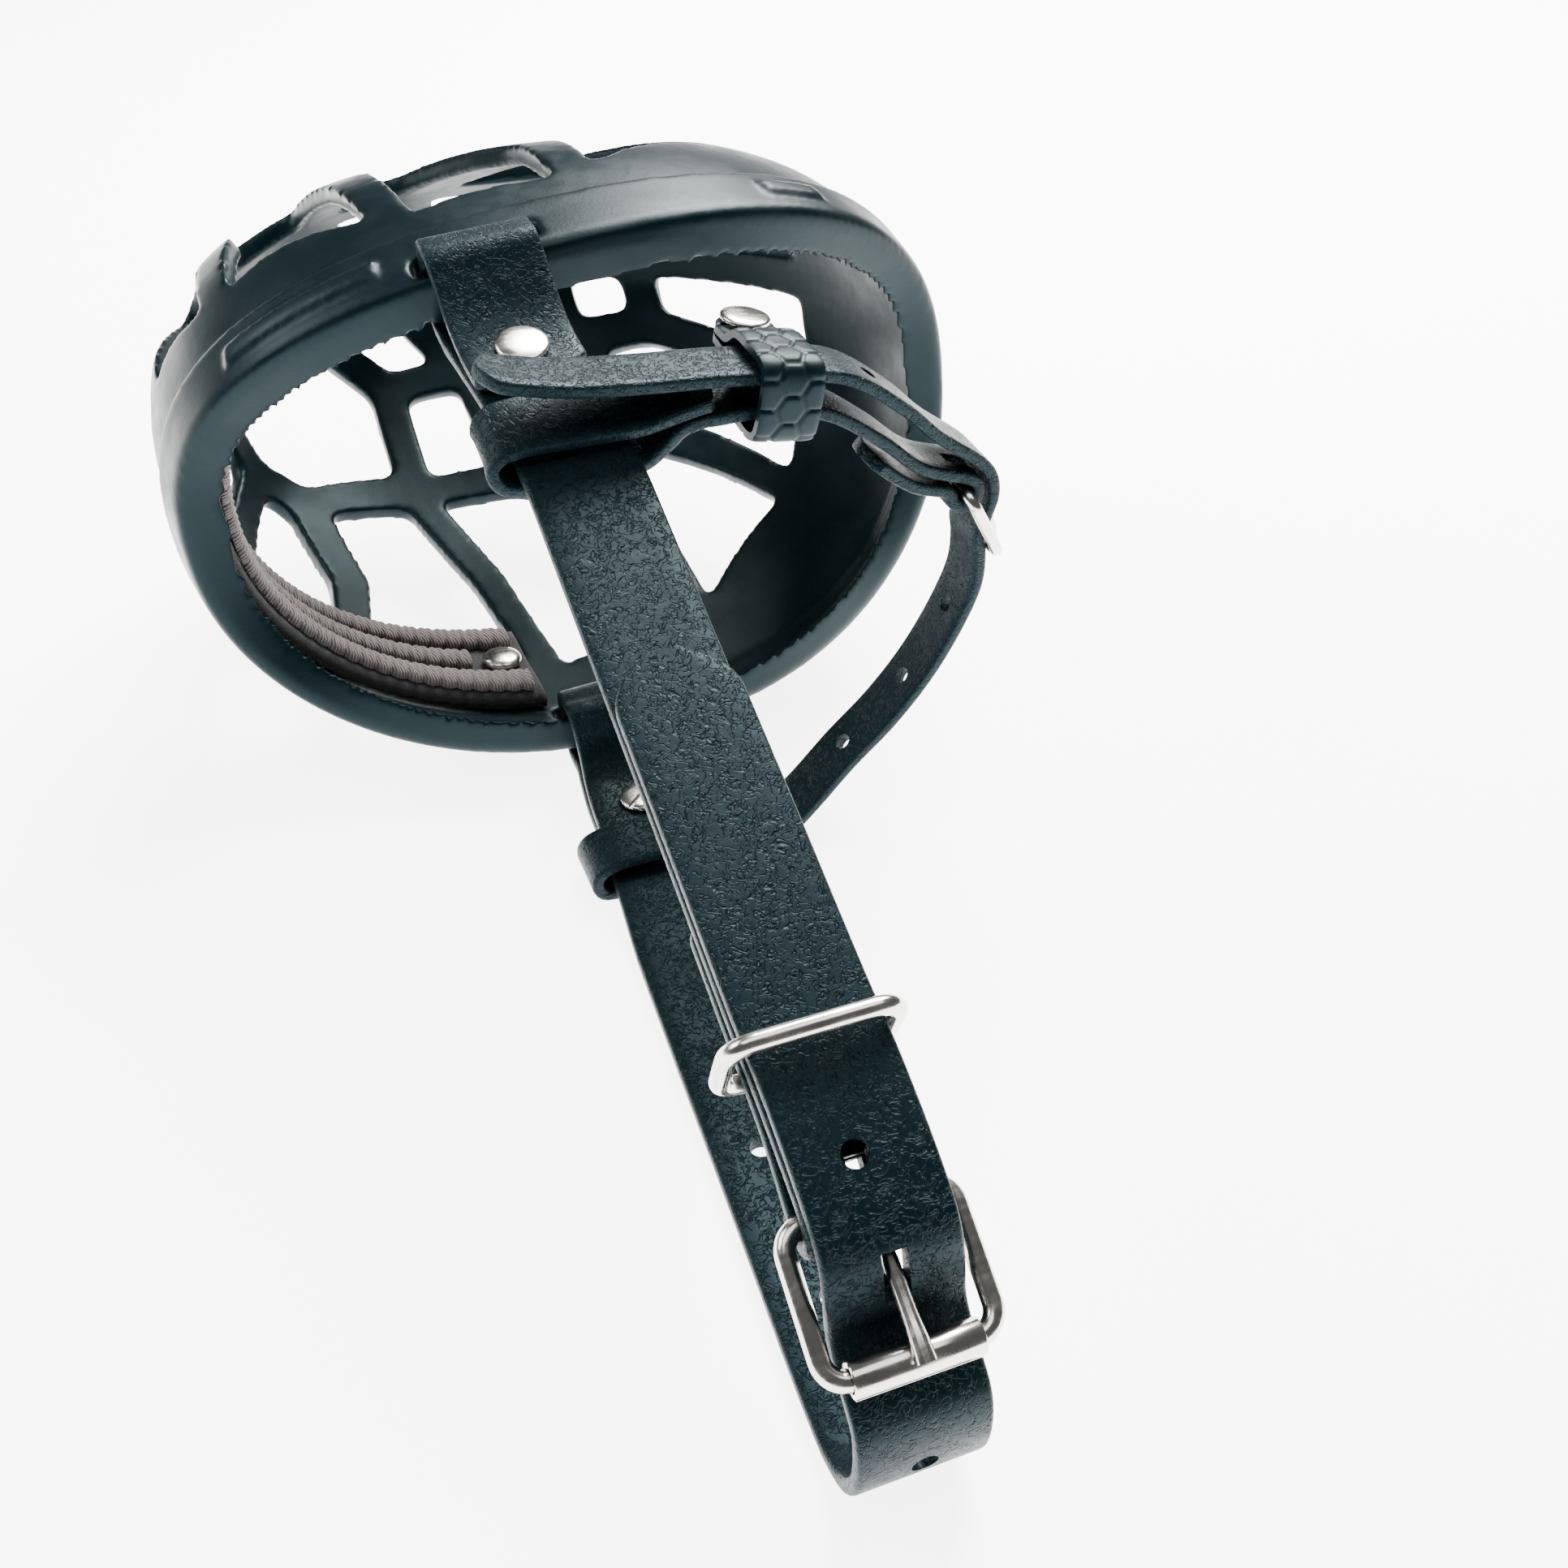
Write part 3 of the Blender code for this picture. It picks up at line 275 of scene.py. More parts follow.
def even_path(path, step):
    """The same path with its points an equal distance apart."""
    lengths = [0.0]
    for a, b in zip(path, path[1:]):
        lengths.append(lengths[-1] + (b - a).length)
    count = max(2, round(lengths[-1] / step))
    out = []
    i = 0
    for k in range(count + 1):
        want = lengths[-1] * k / count
        while i < len(path) - 2 and lengths[i + 1] < want:
            i += 1
        share = (want - lengths[i]) / (lengths[i + 1] - lengths[i])
        out.append(path[i].lerp(path[i + 1], share))
    return out


def strap_section(width, thickness, edge=0.6, arc_steps=3, flat_steps=6):
    """Outline of a strap's section: flat faces with rolled edges."""
    w = width / 2 - edge
    t = thickness / 2 - edge
    out = []
    for start, centre in ((0, (w, t)), (90, (-w, t)), (180, (-w, -t)), (270, (w, -t))):
        for k in range(arc_steps + 1):
            angle = math.radians(start + 90 * k / arc_steps)
            out.append((centre[0] + edge * math.cos(angle), centre[1] + edge * math.sin(angle)))
        if start in (0, 180):
            direction = -1 if start == 0 else 1
            for k in range(1, flat_steps):
                out.append((centre[0] + direction * 2 * w * k / flat_steps, out[-1][1]))
    return out


def ribbon(name, path, across, width, thickness, surface, width_scale=None):
    """A strap along a path; across gives its width direction, width_scale its width, by path point."""
    rings = []
    last = len(path) - 1
    for i, point in enumerate(path):
        tangent = (path[min(i + 1, last)] - path[max(i - 1, 0)]).normalized()
        side = across[i] - tangent * across[i].dot(tangent)
        side.normalize()
        normal = tangent.cross(side)
        here = width * (width_scale(i, last) if width_scale else 1.0)
        section = strap_section(here, thickness)
        rings.append([point + side * a + normal * b for a, b in section])
    points, faces = sweep_rings(rings)
    return make_piece(name, points, faces, surface)


def rod(name, path, radius, surface, sides=20, closed=False, radius_at=None):
    """A round wire along a path; radius_at gives (side, normal) scale by path share."""
    count = len(path)
    rings = []
    reference = Vector((0.31, 0.17, 0.93))
    for i, point in enumerate(path):
        if closed:
            tangent = path[(i + 1) % count] - path[i - 1]
        else:
            tangent = path[min(i + 1, count - 1)] - path[max(i - 1, 0)]
        tangent.normalize()
        side = reference - tangent * reference.dot(tangent)
        side.normalize()
        reference = side
        normal = tangent.cross(side)
        scale = radius_at(i / (count - 1)) if radius_at else 1.0
        rings.append([
            point + (side * math.cos(a) + normal * math.sin(a)) * radius * scale
            for a in (2 * math.pi * k / sides for k in range(sides))
        ])
    points, faces = sweep_rings(rings, closed)
    return make_piece(name, points, faces, surface)


def turned(name, profile, base, axis, surface, sides=48, closed_profile=False):
    """A turned piece: profile lists (radius, height) from the base point along the axis."""
    axis = axis.normalized()
    helper = Vector((1, 0, 0)) if abs(axis.x) < 0.9 else Vector((0, 1, 0))
    side = axis.cross(helper).normalized()
    other = axis.cross(side)
    rings = []
    for radius, height in profile:
        rings.append([
            base + axis * height + (side * math.cos(a) + other * math.sin(a)) * radius
            for a in (2 * math.pi * k / sides for k in range(sides))
        ])
    points, faces = sweep_rings(rings, closed_profile)
    return make_piece(name, points, faces, surface)


def box(name, centre, size, axes, surface=None):
    """A box with its edges along the given unit axes."""
    points = []
    for a in (-0.5, 0.5):
        for b in (-0.5, 0.5):
            for c in (-0.5, 0.5):
                points.append(
                    centre + axes[0] * size[0] * a + axes[1] * size[1] * b + axes[2] * size[2] * c
                )
    faces = [(0, 1, 3, 2), (4, 6, 7, 5), (0, 4, 5, 1), (2, 3, 7, 6), (0, 2, 6, 4), (1, 5, 7, 3)]
    return make_piece(name, points, faces, surface, False)


def loop_path(centre, first, second, half_first, half_second, corner, steps=8):
    """Closed rounded rectangle in the plane of two unit vectors."""
    out = []
    for k, (a, b) in enumerate(((1, 1), (-1, 1), (-1, -1), (1, -1))):
        for j in range(steps + 1):
            angle = math.pi / 2 * (k + j / steps)
            out.append(
                centre
                + first * (a * (half_first - corner) + corner * math.cos(angle))
                + second * (b * (half_second - corner) + corner * math.sin(angle))
            )
    return out


def punch(piece, centre, axis, radius, reach):
    """Cuts a round hole."""
    cut(piece, turned("hole", [(radius, -reach), (radius, reach)], centre, axis, None, 32))


def place(piece, body, slot, *nodes):
    """The piece moves with a body and stands for CAD nodes; the slot argument is not used."""
    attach(piece, body)
    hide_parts(*nodes)


# ---------------------------------------------------------------- materials


class Surface:
    """Builds one node material."""

    def __init__(self, name):
        self.material = bpy.data.materials.new(name)
        self.material.use_nodes = True
        self.nodes = self.material.node_tree.nodes
        self.links = self.material.node_tree.links
        self.shader = self.nodes["Principled BSDF"]
        self.where = self.nodes.new("ShaderNodeTexCoord").outputs["Object"]

    def set(self, **values):
        for name, value in values.items():
            self.shader.inputs[name.replace("_", " ")].default_value = value

    def feed(self, socket, output):
        self.links.new(output, self.shader.inputs[socket])

    def noise(self, scale, detail=2.0, roughness=0.5, distortion=0.0, where=None):
        node = self.nodes.new("ShaderNodeTexNoise")
        node.inputs["Scale"].default_value = scale
        node.inputs["Detail"].default_value = detail
        node.inputs["Roughness"].default_value = roughness
        node.inputs["Distortion"].default_value = distortion
        self.links.new(where or self.where, node.inputs["Vector"])
        return node.outputs["Fac"]

    def stretched(self, scale, turn):
        """Object coordinates scaled along the axes, after a turn about Z."""
        node = self.nodes.new("ShaderNodeMapping")
        node.inputs["Scale"].default_value = scale
        node.inputs["Rotation"].default_value = (0, 0, math.radians(turn))
        self.links.new(self.where, node.inputs["Vector"])
        return node.outputs["Vector"]

    def attribute(self, name):
        node = self.nodes.new("ShaderNodeAttribute")
        node.attribute_name = name
        return node.outputs["Fac"]

    def math(self, operation, first, second=0.0, third=0.0):
        node = self.nodes.new("ShaderNodeMath")
        node.operation = operation
        for socket, value in zip(node.inputs, (first, second, third)):
            if isinstance(value, (int, float)):
                socket.default_value = value
            else:
                self.links.new(value, socket)
        return node.outputs[0]

    def ramp(self, value, low, high, to_low=0.0, to_high=1.0):
        """Maps a range of a value to another range, with soft ends."""
        node = self.nodes.new("ShaderNodeMapRange")
        node.interpolation_type = "SMOOTHSTEP"
        for name, number in (
            ("From Min", low), ("From Max", high), ("To Min", to_low), ("To Max", to_high),
        ):
            node.inputs[name].default_value = number
        self.links.new(value, node.inputs["Value"])
        return node.outputs["Result"]

    def mix(self, share, first, second):
        """A colour between two, by share."""
        node = self.nodes.new("ShaderNodeMix")
        node.data_type = "RGBA"
        self.links.new(share, node.inputs[0])
        for socket, value in ((node.inputs[6], first), (node.inputs[7], second)):
            if isinstance(value, tuple):
                socket.default_value = (*value, 1.0)
            else:
                self.links.new(value, socket)
        return node.outputs[2]

    def bump(self, height, distance, strength=1.0):
        """Feeds the normal from a height whose full range is distance metres."""
        node = self.nodes.new("ShaderNodeBump")
        node.inputs["Strength"].default_value = strength
        node.inputs["Distance"].default_value = distance
        self.links.new(height, node.inputs["Height"])
        self.links.new(node.outputs["Normal"], self.shader.inputs["Normal"])


def rubber_material():
    """Satin moulded rubber: cool black, faintly cloudy, with a fine moulded texture."""
    s = Surface("black_rubber")
    cloud = s.noise(38.0, 3.0)
    fine = s.noise(2200.0, 2.0)
    smear = s.noise(140.0, 4.0, 0.6)
    s.feed("Base Color", s.mix(cloud, (0.0007, 0.0036, 0.0048), (0.0014, 0.0058, 0.0076)))
    s.feed("Roughness", s.ramp(smear, 0.3, 0.75, 0.34, 0.46))
    s.bump(s.math("MULTIPLY_ADD", fine, 0.35, s.math("MULTIPLY", smear, 0.65)), 0.00008, 0.6)
    s.set(Specular_IOR_Level=0.12, Specular_Tint=(0.62, 0.90, 0.97, 1.0))
    return s.material


def strap_material():
    """Artificial leather: embossed wormy creases with painted shade in them, fine pores, satin sheen."""
    s = Surface("grained_strap")
    field = s.noise(640.0, 1.0, 0.5, 1.0)
    crease = s.ramp(s.math("ABSOLUTE", s.math("SUBTRACT", field, 0.5)), 0.0, 0.05, 1.0, 0.0)
    second_field = s.noise(560.0, 1.0, 0.5, 1.3)
    second = s.ramp(
        s.math("ABSOLUTE", s.math("SUBTRACT", second_field, 0.46)), 0.0, 0.04, 1.0, 0.0
    )
    broken = s.ramp(s.noise(480.0, 1.0), 0.32, 0.46)
    lines = s.math("MAXIMUM", s.math("MULTIPLY", crease, broken), s.math("MULTIPLY", second, 0.6))
    pores = s.noise(2600.0, 1.0)
    swell = s.noise(420.0, 1.0)
    cloud = s.noise(45.0, 3.0)
    height = s.math("MULTIPLY_ADD", swell, 0.3, s.math("MULTIPLY", pores, 0.06))
    height = s.math("SUBTRACT", height, s.math("MULTIPLY", lines, 0.62))
    base = s.mix(cloud, (0.0007, 0.0042, 0.0060), (0.0014, 0.0066, 0.0090))
    # Mixing the crease lines to a darker colour paints shade into the creases.
    s.feed("Base Color", s.mix(s.math("MULTIPLY", lines, 0.6), base, (0.0012, 0.0022, 0.0030)))
    s.feed("Roughness", s.math("MULTIPLY_ADD", lines, 0.12, s.ramp(cloud, 0.3, 0.7, 0.40, 0.48)))
    s.bump(height, 0.00030, 0.8)
    s.set(Specular_IOR_Level=0.13, Specular_Tint=(0.55, 0.86, 0.95, 1.0))
    return s.material


def nickel_material():
    """Polished nickel plate with faint rubbing marks."""
    s = Surface("nickel_plate")
    haze = s.noise(190.0, 3.0)
    rubbed = s.noise(900.0, 2.0, 0.5, 0.0, s.stretched((0.25, 1.6, 1.0), 35))
    s.feed("Base Color", s.mix(haze, (0.50, 0.475, 0.44), (0.64, 0.61, 0.575)))
    s.feed("Roughness", s.ramp(s.math("MULTIPLY", haze, rubbed), 0.1, 0.45, 0.15, 0.28))
    s.bump(rubbed, 0.00001, 0.3)
    s.set(Metallic=1.0)
    return s.material


def pad_material():
    """Black felted lining."""
    s = Surface("black_lining")
    fibres = s.noise(3200.0, 3.0, 0.6, 0.6)
    cloud = s.noise(160.0, 3.0)
    s.feed("Base Color", s.mix(cloud, (0.0040, 0.0042, 0.0048), (0.0095, 0.0092, 0.0100)))
    s.feed("Roughness", s.ramp(cloud, 0.2, 0.8, 0.86, 0.96))
    s.bump(fibres, 0.0003, 0.7)
    s.set(Sheen_Weight=0.25)
    return s.material


def braid_material():
    """Brown-grey braid: thread loops that slant across the band, with painted highlight on their crests
    and painted shade between them.
    """
    s = Surface("woven_braid")
    along = s.attribute("along")
    across = s.attribute("across")
    slant = s.math("MULTIPLY_ADD", across, 0.55, along)
    thread = s.math("SINE", s.math("MULTIPLY", slant, 2 * math.pi / 0.55))
    thread = s.ramp(thread, -1.0, 1.0)
    fibres = s.noise(4200.0, 3.0, 0.65)
    tone = s.noise(220.0, 3.0)
    # The slant of the threads is the real weave. The dark-to-light tones across it are painted shade
    # between the threads and painted highlight on their crests.
    shaded_thread_tone = s.mix(tone, (0.040, 0.030, 0.031), (0.070, 0.054, 0.055))
    light = s.mix(tone, (0.190, 0.155, 0.155), (0.290, 0.245, 0.245))
    share = s.math("MULTIPLY_ADD", thread, 0.62, s.math("MULTIPLY", fibres, 0.38))
    s.feed("Base Color", s.mix(share, shaded_thread_tone, light))
    s.feed("Roughness", s.ramp(fibres, 0.2, 0.8, 0.82, 0.95))
    s.bump(s.math("MULTIPLY_ADD", thread, 0.7, s.math("MULTIPLY", fibres, 0.4)), 0.00025, 0.9)
    s.set(Sheen_Weight=0.2)
    return s.material


def floor_material():
    """Plain pale studio floor."""
    s = Surface("pale_floor")
    tone = s.noise(3.0, 2.0)
    s.feed("Base Color", s.mix(tone, (0.86, 0.86, 0.86), (0.88, 0.88, 0.88)))
    s.set(Roughness=0.9, Emission_Color=(1.0, 1.0, 1.0, 1.0), Emission_Strength=5.5)
    return s.material


RUBBER = rubber_material()
STRAP = strap_material()
NICKEL = nickel_material()
LINING = pad_material()
BRAID = braid_material()

# ---------------------------------------------------------------- basket

# Lattice nodes of the right half as (degrees round from the chin, depth); the left half mirrors them.
NODES = {
    "wall_mid": (0, 0.49), "wall_side": (27, 0.43), "wall_top": (53, 0.30),
    "foot_c": (81, 0.15), "foot_b": (101, 0.14), "foot_a": (132, 0.17), "foot_e": (157, 0.21),
    "bend_c": (81, 0.42), "bend_b": (104, 0.45), "bend_a": (130, 0.45),
    "ring_r": (37, 0.68), "ring_c": (69, 0.65), "ring_b": (94, 0.675), "ring_a": (114, 0.685),
    "ring_e": (142, 0.635), "ring_f": (160, 0.64),
    "front_r": (41, 0.815), "front_c": (65, 0.88), "front_b": (96, 0.91), "front_a": (128, 0.90),
    "mid_chin": (0, 0.88), "mid_c": (0, 0.968), "mid_b": (180, 0.985), "mid_a": (180, 0.91),
    "ring_mid": (180, 0.65),
}
SIDE_WINDOWS = [
    ["foot_b", "foot_a", "bend_a", "ring_e", "ring_a", "bend_b"],
    ["foot_c", "foot_b", "bend_b", "ring_a", "ring_b", "bend_c"],
    ["wall_top", "foot_c", "bend_c", "ring_b", "ring_c"],
    ["wall_side", "wall_top", "ring_c", "ring_r"],
    ["foot_a", "foot_e", "ring_f", "ring_e", "bend_a"],
    ["ring_a", "ring_e", "ring_f", "ring_mid", "mid_a", "front_a"],
    ["ring_b", "ring_a", "front_a", "front_b"],
    ["ring_c", "ring_b", "front_b", "front_c"],
    ["ring_r", "ring_c", "front_c", "front_r"],
    ["wall_mid", "wall_side", "ring_r", "front_r", "mid_chin"],
    ["mid_chin", "front_r", "front_c", "mid_c"],
    ["mid_c", "front_c", "front_b", "mid_b"],
    ["mid_b", "front_b", "front_a", "mid_a"],
]
BRIDGE_WINDOW = [("foot_e", 1), ("foot_e", -1), ("ring_f", -1), ("ring_f", 1)]


def node_on_disk(name, mirror):
    degrees, depth = NODES[name]
    return to_disk(math.radians(degrees) * mirror + LATTICE_TWIST, depth)


def window_metric(centre):
    """Millimetres on the surface for steps along the disk's u and v at a point."""
    step = 0.01
    du = disk_surface(centre.x + step, centre.y) - disk_surface(centre.x - step, centre.y)
    dv = disk_surface(centre.x, centre.y + step) - disk_surface(centre.x, centre.y - step)
    du /= 2 * step
    dv /= 2 * step
    first = du.normalized()
    second = (dv - first * dv.dot(first)).normalized()
    return du.dot(first), dv.dot(first), dv.dot(second)


def inset_corners(corners, distance):
    """Moves every edge of an anticlockwise polygon inwards."""
    count = len(corners)
    lines = []
    for i, here in enumerate(corners):
        along = (corners[(i + 1) % count] - here).normalized()
        lines.append((here + Vector((-along.y, along.x)) * distance, along))
    moved = []
    for i in range(count):
        point_a, along_a = lines[i - 1]
        point_b, along_b = lines[i]
        cross = along_a.x * along_b.y - along_a.y * along_b.x
        gap = point_b - point_a
        t = (gap.x * along_b.y - gap.y * along_b.x) / cross
        moved.append(point_a + along_a * t)
    return moved


def round_corners(corners, radius, steps=8):
    """Replaces each corner by a curve and divides the straight stretches."""
    count = len(corners)
    out = []
    for i, here in enumerate(corners):
        before = corners[i - 1] - here
        after = corners[(i + 1) % count] - here
        start = here + before.normalized() * min(radius, before.length * 0.45)
        end = here + after.normalized() * min(radius, after.length * 0.45)
        for k in range(steps + 1):
            t = k / steps
            out.append(start * (1 - t) ** 2 + here * 2 * t * (1 - t) + end * t * t)
        after_corner = corners[(i + 1) % count]
        following = after_corner + (here - after_corner).normalized() * min(radius, after.length * 0.45)
        for k in range(1, 4):
            out.append(end.lerp(following, k / 4))
    return out


def window_outline(points):
    """Rounded outline of the opening between bars that join the given disk points."""
    centre = sum(points, Vector((0, 0))) / len(points)
    xx, xy, yy = window_metric(centre)
    flat = [Vector((p.x * xx + p.y * xy, p.y * yy)) for p in points]
    turn = sum(a.x * b.y - a.y * b.x for a, b in zip(flat, flat[1:] + flat[:1]))
    if turn < 0:
        flat.reverse()
    outline = round_corners(inset_corners(flat, BAR_WIDTH / 2), WINDOW_CORNER)
    return [Vector(((p.x - p.y / yy * xy) / xx, p.y / yy)) for p in outline]


def lattice_windows():
    windows = []
    for names in SIDE_WINDOWS:
        for mirror in (1, -1):
            windows.append(window_outline([node_on_disk(n, mirror) for n in names]))
    windows.append(window_outline([node_on_disk(n, mirror) for n, mirror in BRIDGE_WINDOW]))
    return windows


def inside(point, outline):
    """True when the point lies in the outline."""
    crossings = 0
    for a, b in zip(outline, outline[1:] + outline[:1]):
        if (a.y > point.y) != (b.y > point.y):
            x = a.x + (point.y - a.y) / (b.y - a.y) * (b.x - a.x)
            crossings += point.x < x
    return crossings % 2 == 1


def in_any_window(point, windows):
    for outline, low, high in windows:
        if low.x < point.x < high.x and low.y < point.y < high.y and inside(point, outline):
            return True
    return False


def build_lattice():
    """The windowed wall of the basket, from inside the collar to the nose."""
    start_depth = 0.055
    rim_count = 240
    rows = 30
    clearance = 0.008
    windows = []
    for outline in lattice_windows():
        low = Vector((min(p.x for p in outline), min(p.y for p in outline)))
        high = Vector((max(p.x for p in outline), max(p.y for p in outline)))
        windows.append((outline, low, high))
    edge_points = [p for outline, _, _ in windows for p in outline]
    flat = []
    edges = []
    for k in range(rim_count):
        flat.append(to_disk(2 * math.pi * k / rim_count, start_depth))
        edges.append((k, (k + 1) % rim_count))
    for outline, _, _ in windows:
        first = len(flat)
        count = len(outline)
        flat.extend(outline)
        edges.extend((first + k, first + (k + 1) % count) for k in range(count))
    for row in range(1, rows):
        depth = start_depth + (1.0 - start_depth) * row / rows
        count = max(12, round(rim_count * 0.6 * math.sqrt(1 - depth)))
        for k in range(count):
            point = to_disk(2 * math.pi * (k + 0.5) / count, depth)
            if in_any_window(point, windows):
                continue
            if min((point - q).length_squared for q in edge_points) > clearance ** 2:
                flat.append(point)
    spots, _, triangles, _, _, _ = delaunay_2d_cdt(flat, edges, [], 0, 1e-7)
    solid = []
    for triangle in triangles:
        centre = sum((spots[i] for i in triangle), Vector((0, 0))) / 3
        if not in_any_window(centre, windows):
            solid.append(tuple(triangle))
    outer = [disk_surface(p.x, p.y) for p in spots]
    inner = [s - disk_normal(p.x, p.y) * SHELL_THICKNESS for s, p in zip(outer, spots)]
    count = len(spots)
    faces = list(solid)
    faces.extend(tuple(count + i for i in reversed(face)) for face in solid)
    directed = {(i, j) for face in solid for i, j in zip(face, face[1:] + face[:1])}
    faces.extend((j, i, count + i, count + j) for i, j in directed if (j, i) not in directed)
    used = sorted({i for face in faces for i in face})
    moved = {old: new for new, old in enumerate(used)}
    both = outer + inner
    points = [from_basket(*both[i]) for i in used]
    return make_piece("moulded_basket", points, [tuple(moved[i] for i in f) for f in faces], RUBBER)


def build_collar():
    """Thick band and rolled lip round the opening."""
    profile = [
        (0.0, -6.4), (-0.004, -3.4), (0.0, -0.6), (0.006, 1.2), (0.02, COLLAR_PROUD),
        (0.05, COLLAR_PROUD), (0.1, COLLAR_PROUD), (COLLAR_DEPTH - 0.008, COLLAR_PROUD),
        (COLLAR_DEPTH, COLLAR_PROUD - 1.0), (COLLAR_DEPTH, -COLLAR_INSIDE + 0.5),
        (0.1, -COLLAR_INSIDE + 0.5), (0.075, -COLLAR_INSIDE + 0.5), (0.06, -COLLAR_INSIDE),
        (0.045, 0.4 - LIP_INSIDE),
        (0.012, -LIP_INSIDE),
    ]
    sides = 300
    rings = []
    for k in range(sides):
        angle = 2 * math.pi * k / sides
        rings.append([offset_point(angle, max(depth, 0.0), offset) for depth, offset in profile])
    points, faces = sweep_rings(rings, True)
    return make_piece("collar", points, faces, RUBBER)


# Plain raised strips moulded round the band, in degrees from the chin.
RAISED_STRIPS = ((112, 137), (54, 63))


def strip_part(degrees):
    """One degree's length of a raised strip."""
    angle = math.radians(degrees)
    step = math.radians(0.5)
    middle_depth = COLLAR_DEPTH * 0.5
    centre = offset_point(angle, middle_depth, COLLAR_PROUD)
    along = (offset_point(angle + step, middle_depth, COLLAR_PROUD) - centre).normalized()
    across = offset_point(angle, middle_depth + 0.02, COLLAR_PROUD) - centre
    across = (across - along * across.dot(along)).normalized()
    outward = along.cross(across).normalized()
    return box("strip", centre, (2.4, 3.6, 1.8), (along, across, outward))


def build_basket():
    lattice = build_lattice()
    collar = build_collar()
    for side in (1, -1):
        for piece in (lattice, collar):
            centre = slot_point(side, SLOT_Y, RIM_HALF_HEIGHT)
            cut(piece, box("slot", centre, (SLOT_LENGTH, SLOT_WIDTH, 24.0), (CHIN, NOSE, CHEEK)))
    strips = [strip_part(degrees) for start, end in RAISED_STRIPS for degrees in range(start, end)]
    join(lattice, [collar] + strips)
    remesh = lattice.modifiers.new("union", "REMESH")
    remesh.mode = "VOXEL"
    remesh.voxel_size = 0.6 * MM
    remesh.use_smooth_shade = True
    soften = lattice.modifiers.new("soften", "SMOOTH")
    soften.factor = 0.5
    soften.iterations = 9
    bake_modifiers(lattice)
    lattice.data.materials.clear()
    lattice.data.materials.append(RUBBER)
    place(lattice, "basket", "rubber", "basket_shell")


# ---------------------------------------------------------------- nose pad

PAD_ENDS = (math.radians(101.5), math.radians(258.5))
PAD_DEPTHS = (0.068, 0.265)
PAD_OFFSET = -(COLLAR_INSIDE + 0.45)
PAD_THICKNESS = 3.0
RIB_DEPTHS = {"front": 0.100, "middle": 0.166, "back": 0.232}
RIB_HALF_WIDTH = 0.026
RIB_HEIGHT = 2.3
SCALLOP_PITCH = 2.9


def build_pad():
    """Soft lining whose edges are gathered in small scallops between stitches."""
    near, far = PAD_DEPTHS
    steps = 220
    rings = []
    for k in range(steps + 1):
        angle = PAD_ENDS[0] + (PAD_ENDS[1] - PAD_ENDS[0]) * k / steps
        run = k * 150.0 / steps
        gather = 0.5 + 0.5 * math.cos(2 * math.pi * run / SCALLOP_PITCH)
        edge = 0.004 * gather
        face = PAD_OFFSET - PAD_THICKNESS
        outline = [
            (near, PAD_OFFSET), (far, PAD_OFFSET), (far + 0.004 + edge, PAD_OFFSET - 1.4),
            (far - 0.004, face + 0.3), (far - 0.03, face), (0.166, face + 0.35),
            (near + 0.03, face), (near + 0.004, face + 0.3), (near - 0.003 - edge, PAD_OFFSET - 1.4),
        ]
        rings.append([offset_point(angle, depth, offset) for depth, offset in outline])
    points, faces = sweep_rings(rings)
    pad = make_piece("bridge_padding", points, faces, LINING)
    place(pad, "basket", "pad", "nose_pad")


def build_rib(name, depth):
    """A braid of looped thread sewn along the pad, scalloped down both edges."""
    inset = math.radians(9.5 if name == "middle" else 1.5)
    first = PAD_ENDS[0] + inset
    last = PAD_ENDS[1] - inset
    base = PAD_OFFSET - PAD_THICKNESS - 0.15
    steps = 520
    sides = 14
    run = 0.0
    rings = []
    along = []
    across = []
    previous = None
    for k in range(steps + 1):
        angle = first + (last - first) * k / steps
        centre = offset_point(angle, depth, base)
        run += (centre - previous).length if previous else 0.0
        previous = centre
        phase = 2 * math.pi * run / SCALLOP_PITCH
        scallop = 0.72 + 0.28 * abs(math.cos(phase / 2)) ** 0.7
        other = 0.72 + 0.28 * abs(math.sin(phase / 2)) ** 0.7
        ring = []
        for j in range(sides):
            turn = 2 * math.pi * j / sides
            cosine = math.cos(turn)
            sine = math.sin(turn)
            edge = scallop if cosine > 0 else other
            rise = RIB_HEIGHT * max(0.0, sine) ** 0.7 * (0.86 + 0.14 * abs(math.sin(phase)))
            ring.append(offset_point(angle, depth + RIB_HALF_WIDTH * cosine * edge, base - rise))
            along.append(run)
            across.append(cosine * 2.6)
        rings.append(ring)
    points, faces = sweep_rings(rings)
    rib = make_piece("braid_" + name, points, faces, BRAID)
    for label, values in (("along", along), ("across", across)):
        attribute = rib.data.attributes.new(label, "FLOAT", "POINT")
        attribute.data.foreach_set("value", values)
    place(rib, "basket", "rib", "pad_rib_" + name)


def build_pad_rivet(name, angle):
    """A capped rivet through the end of the pad."""
    depth = RIB_DEPTHS["middle"]
    face = offset_point(angle, depth, PAD_OFFSET - PAD_THICKNESS)
    back = offset_point(angle, depth, PAD_OFFSET)
    inward = (face - back).normalized()
    profile = [
        (1.2, 0.2 - PAD_THICKNESS), (1.2, 0.5), (3.3, 0.5), (3.5, 0.8), (3.45, 1.2), (3.1, 1.6),
        (2.3, 1.9), (1.2, 2.1), (0.3, 2.15),
    ]
    rivet = turned("rivet_" + name, profile, face, inward, NICKEL)
    shade_sharp(rivet, 50)
    place(rivet, "basket", "nickel", "pad_rivet_" + name)


def build_lining():
    build_pad()
    for name, depth in RIB_DEPTHS.items():
        build_rib(name, depth)
    for name, angle in (("right", PAD_ENDS[0]), ("left", PAD_ENDS[1])):
        toward = math.copysign(math.radians(4.0), math.pi - angle)
        build_pad_rivet(name, angle + toward)


# ---------------------------------------------------------------- neck strap

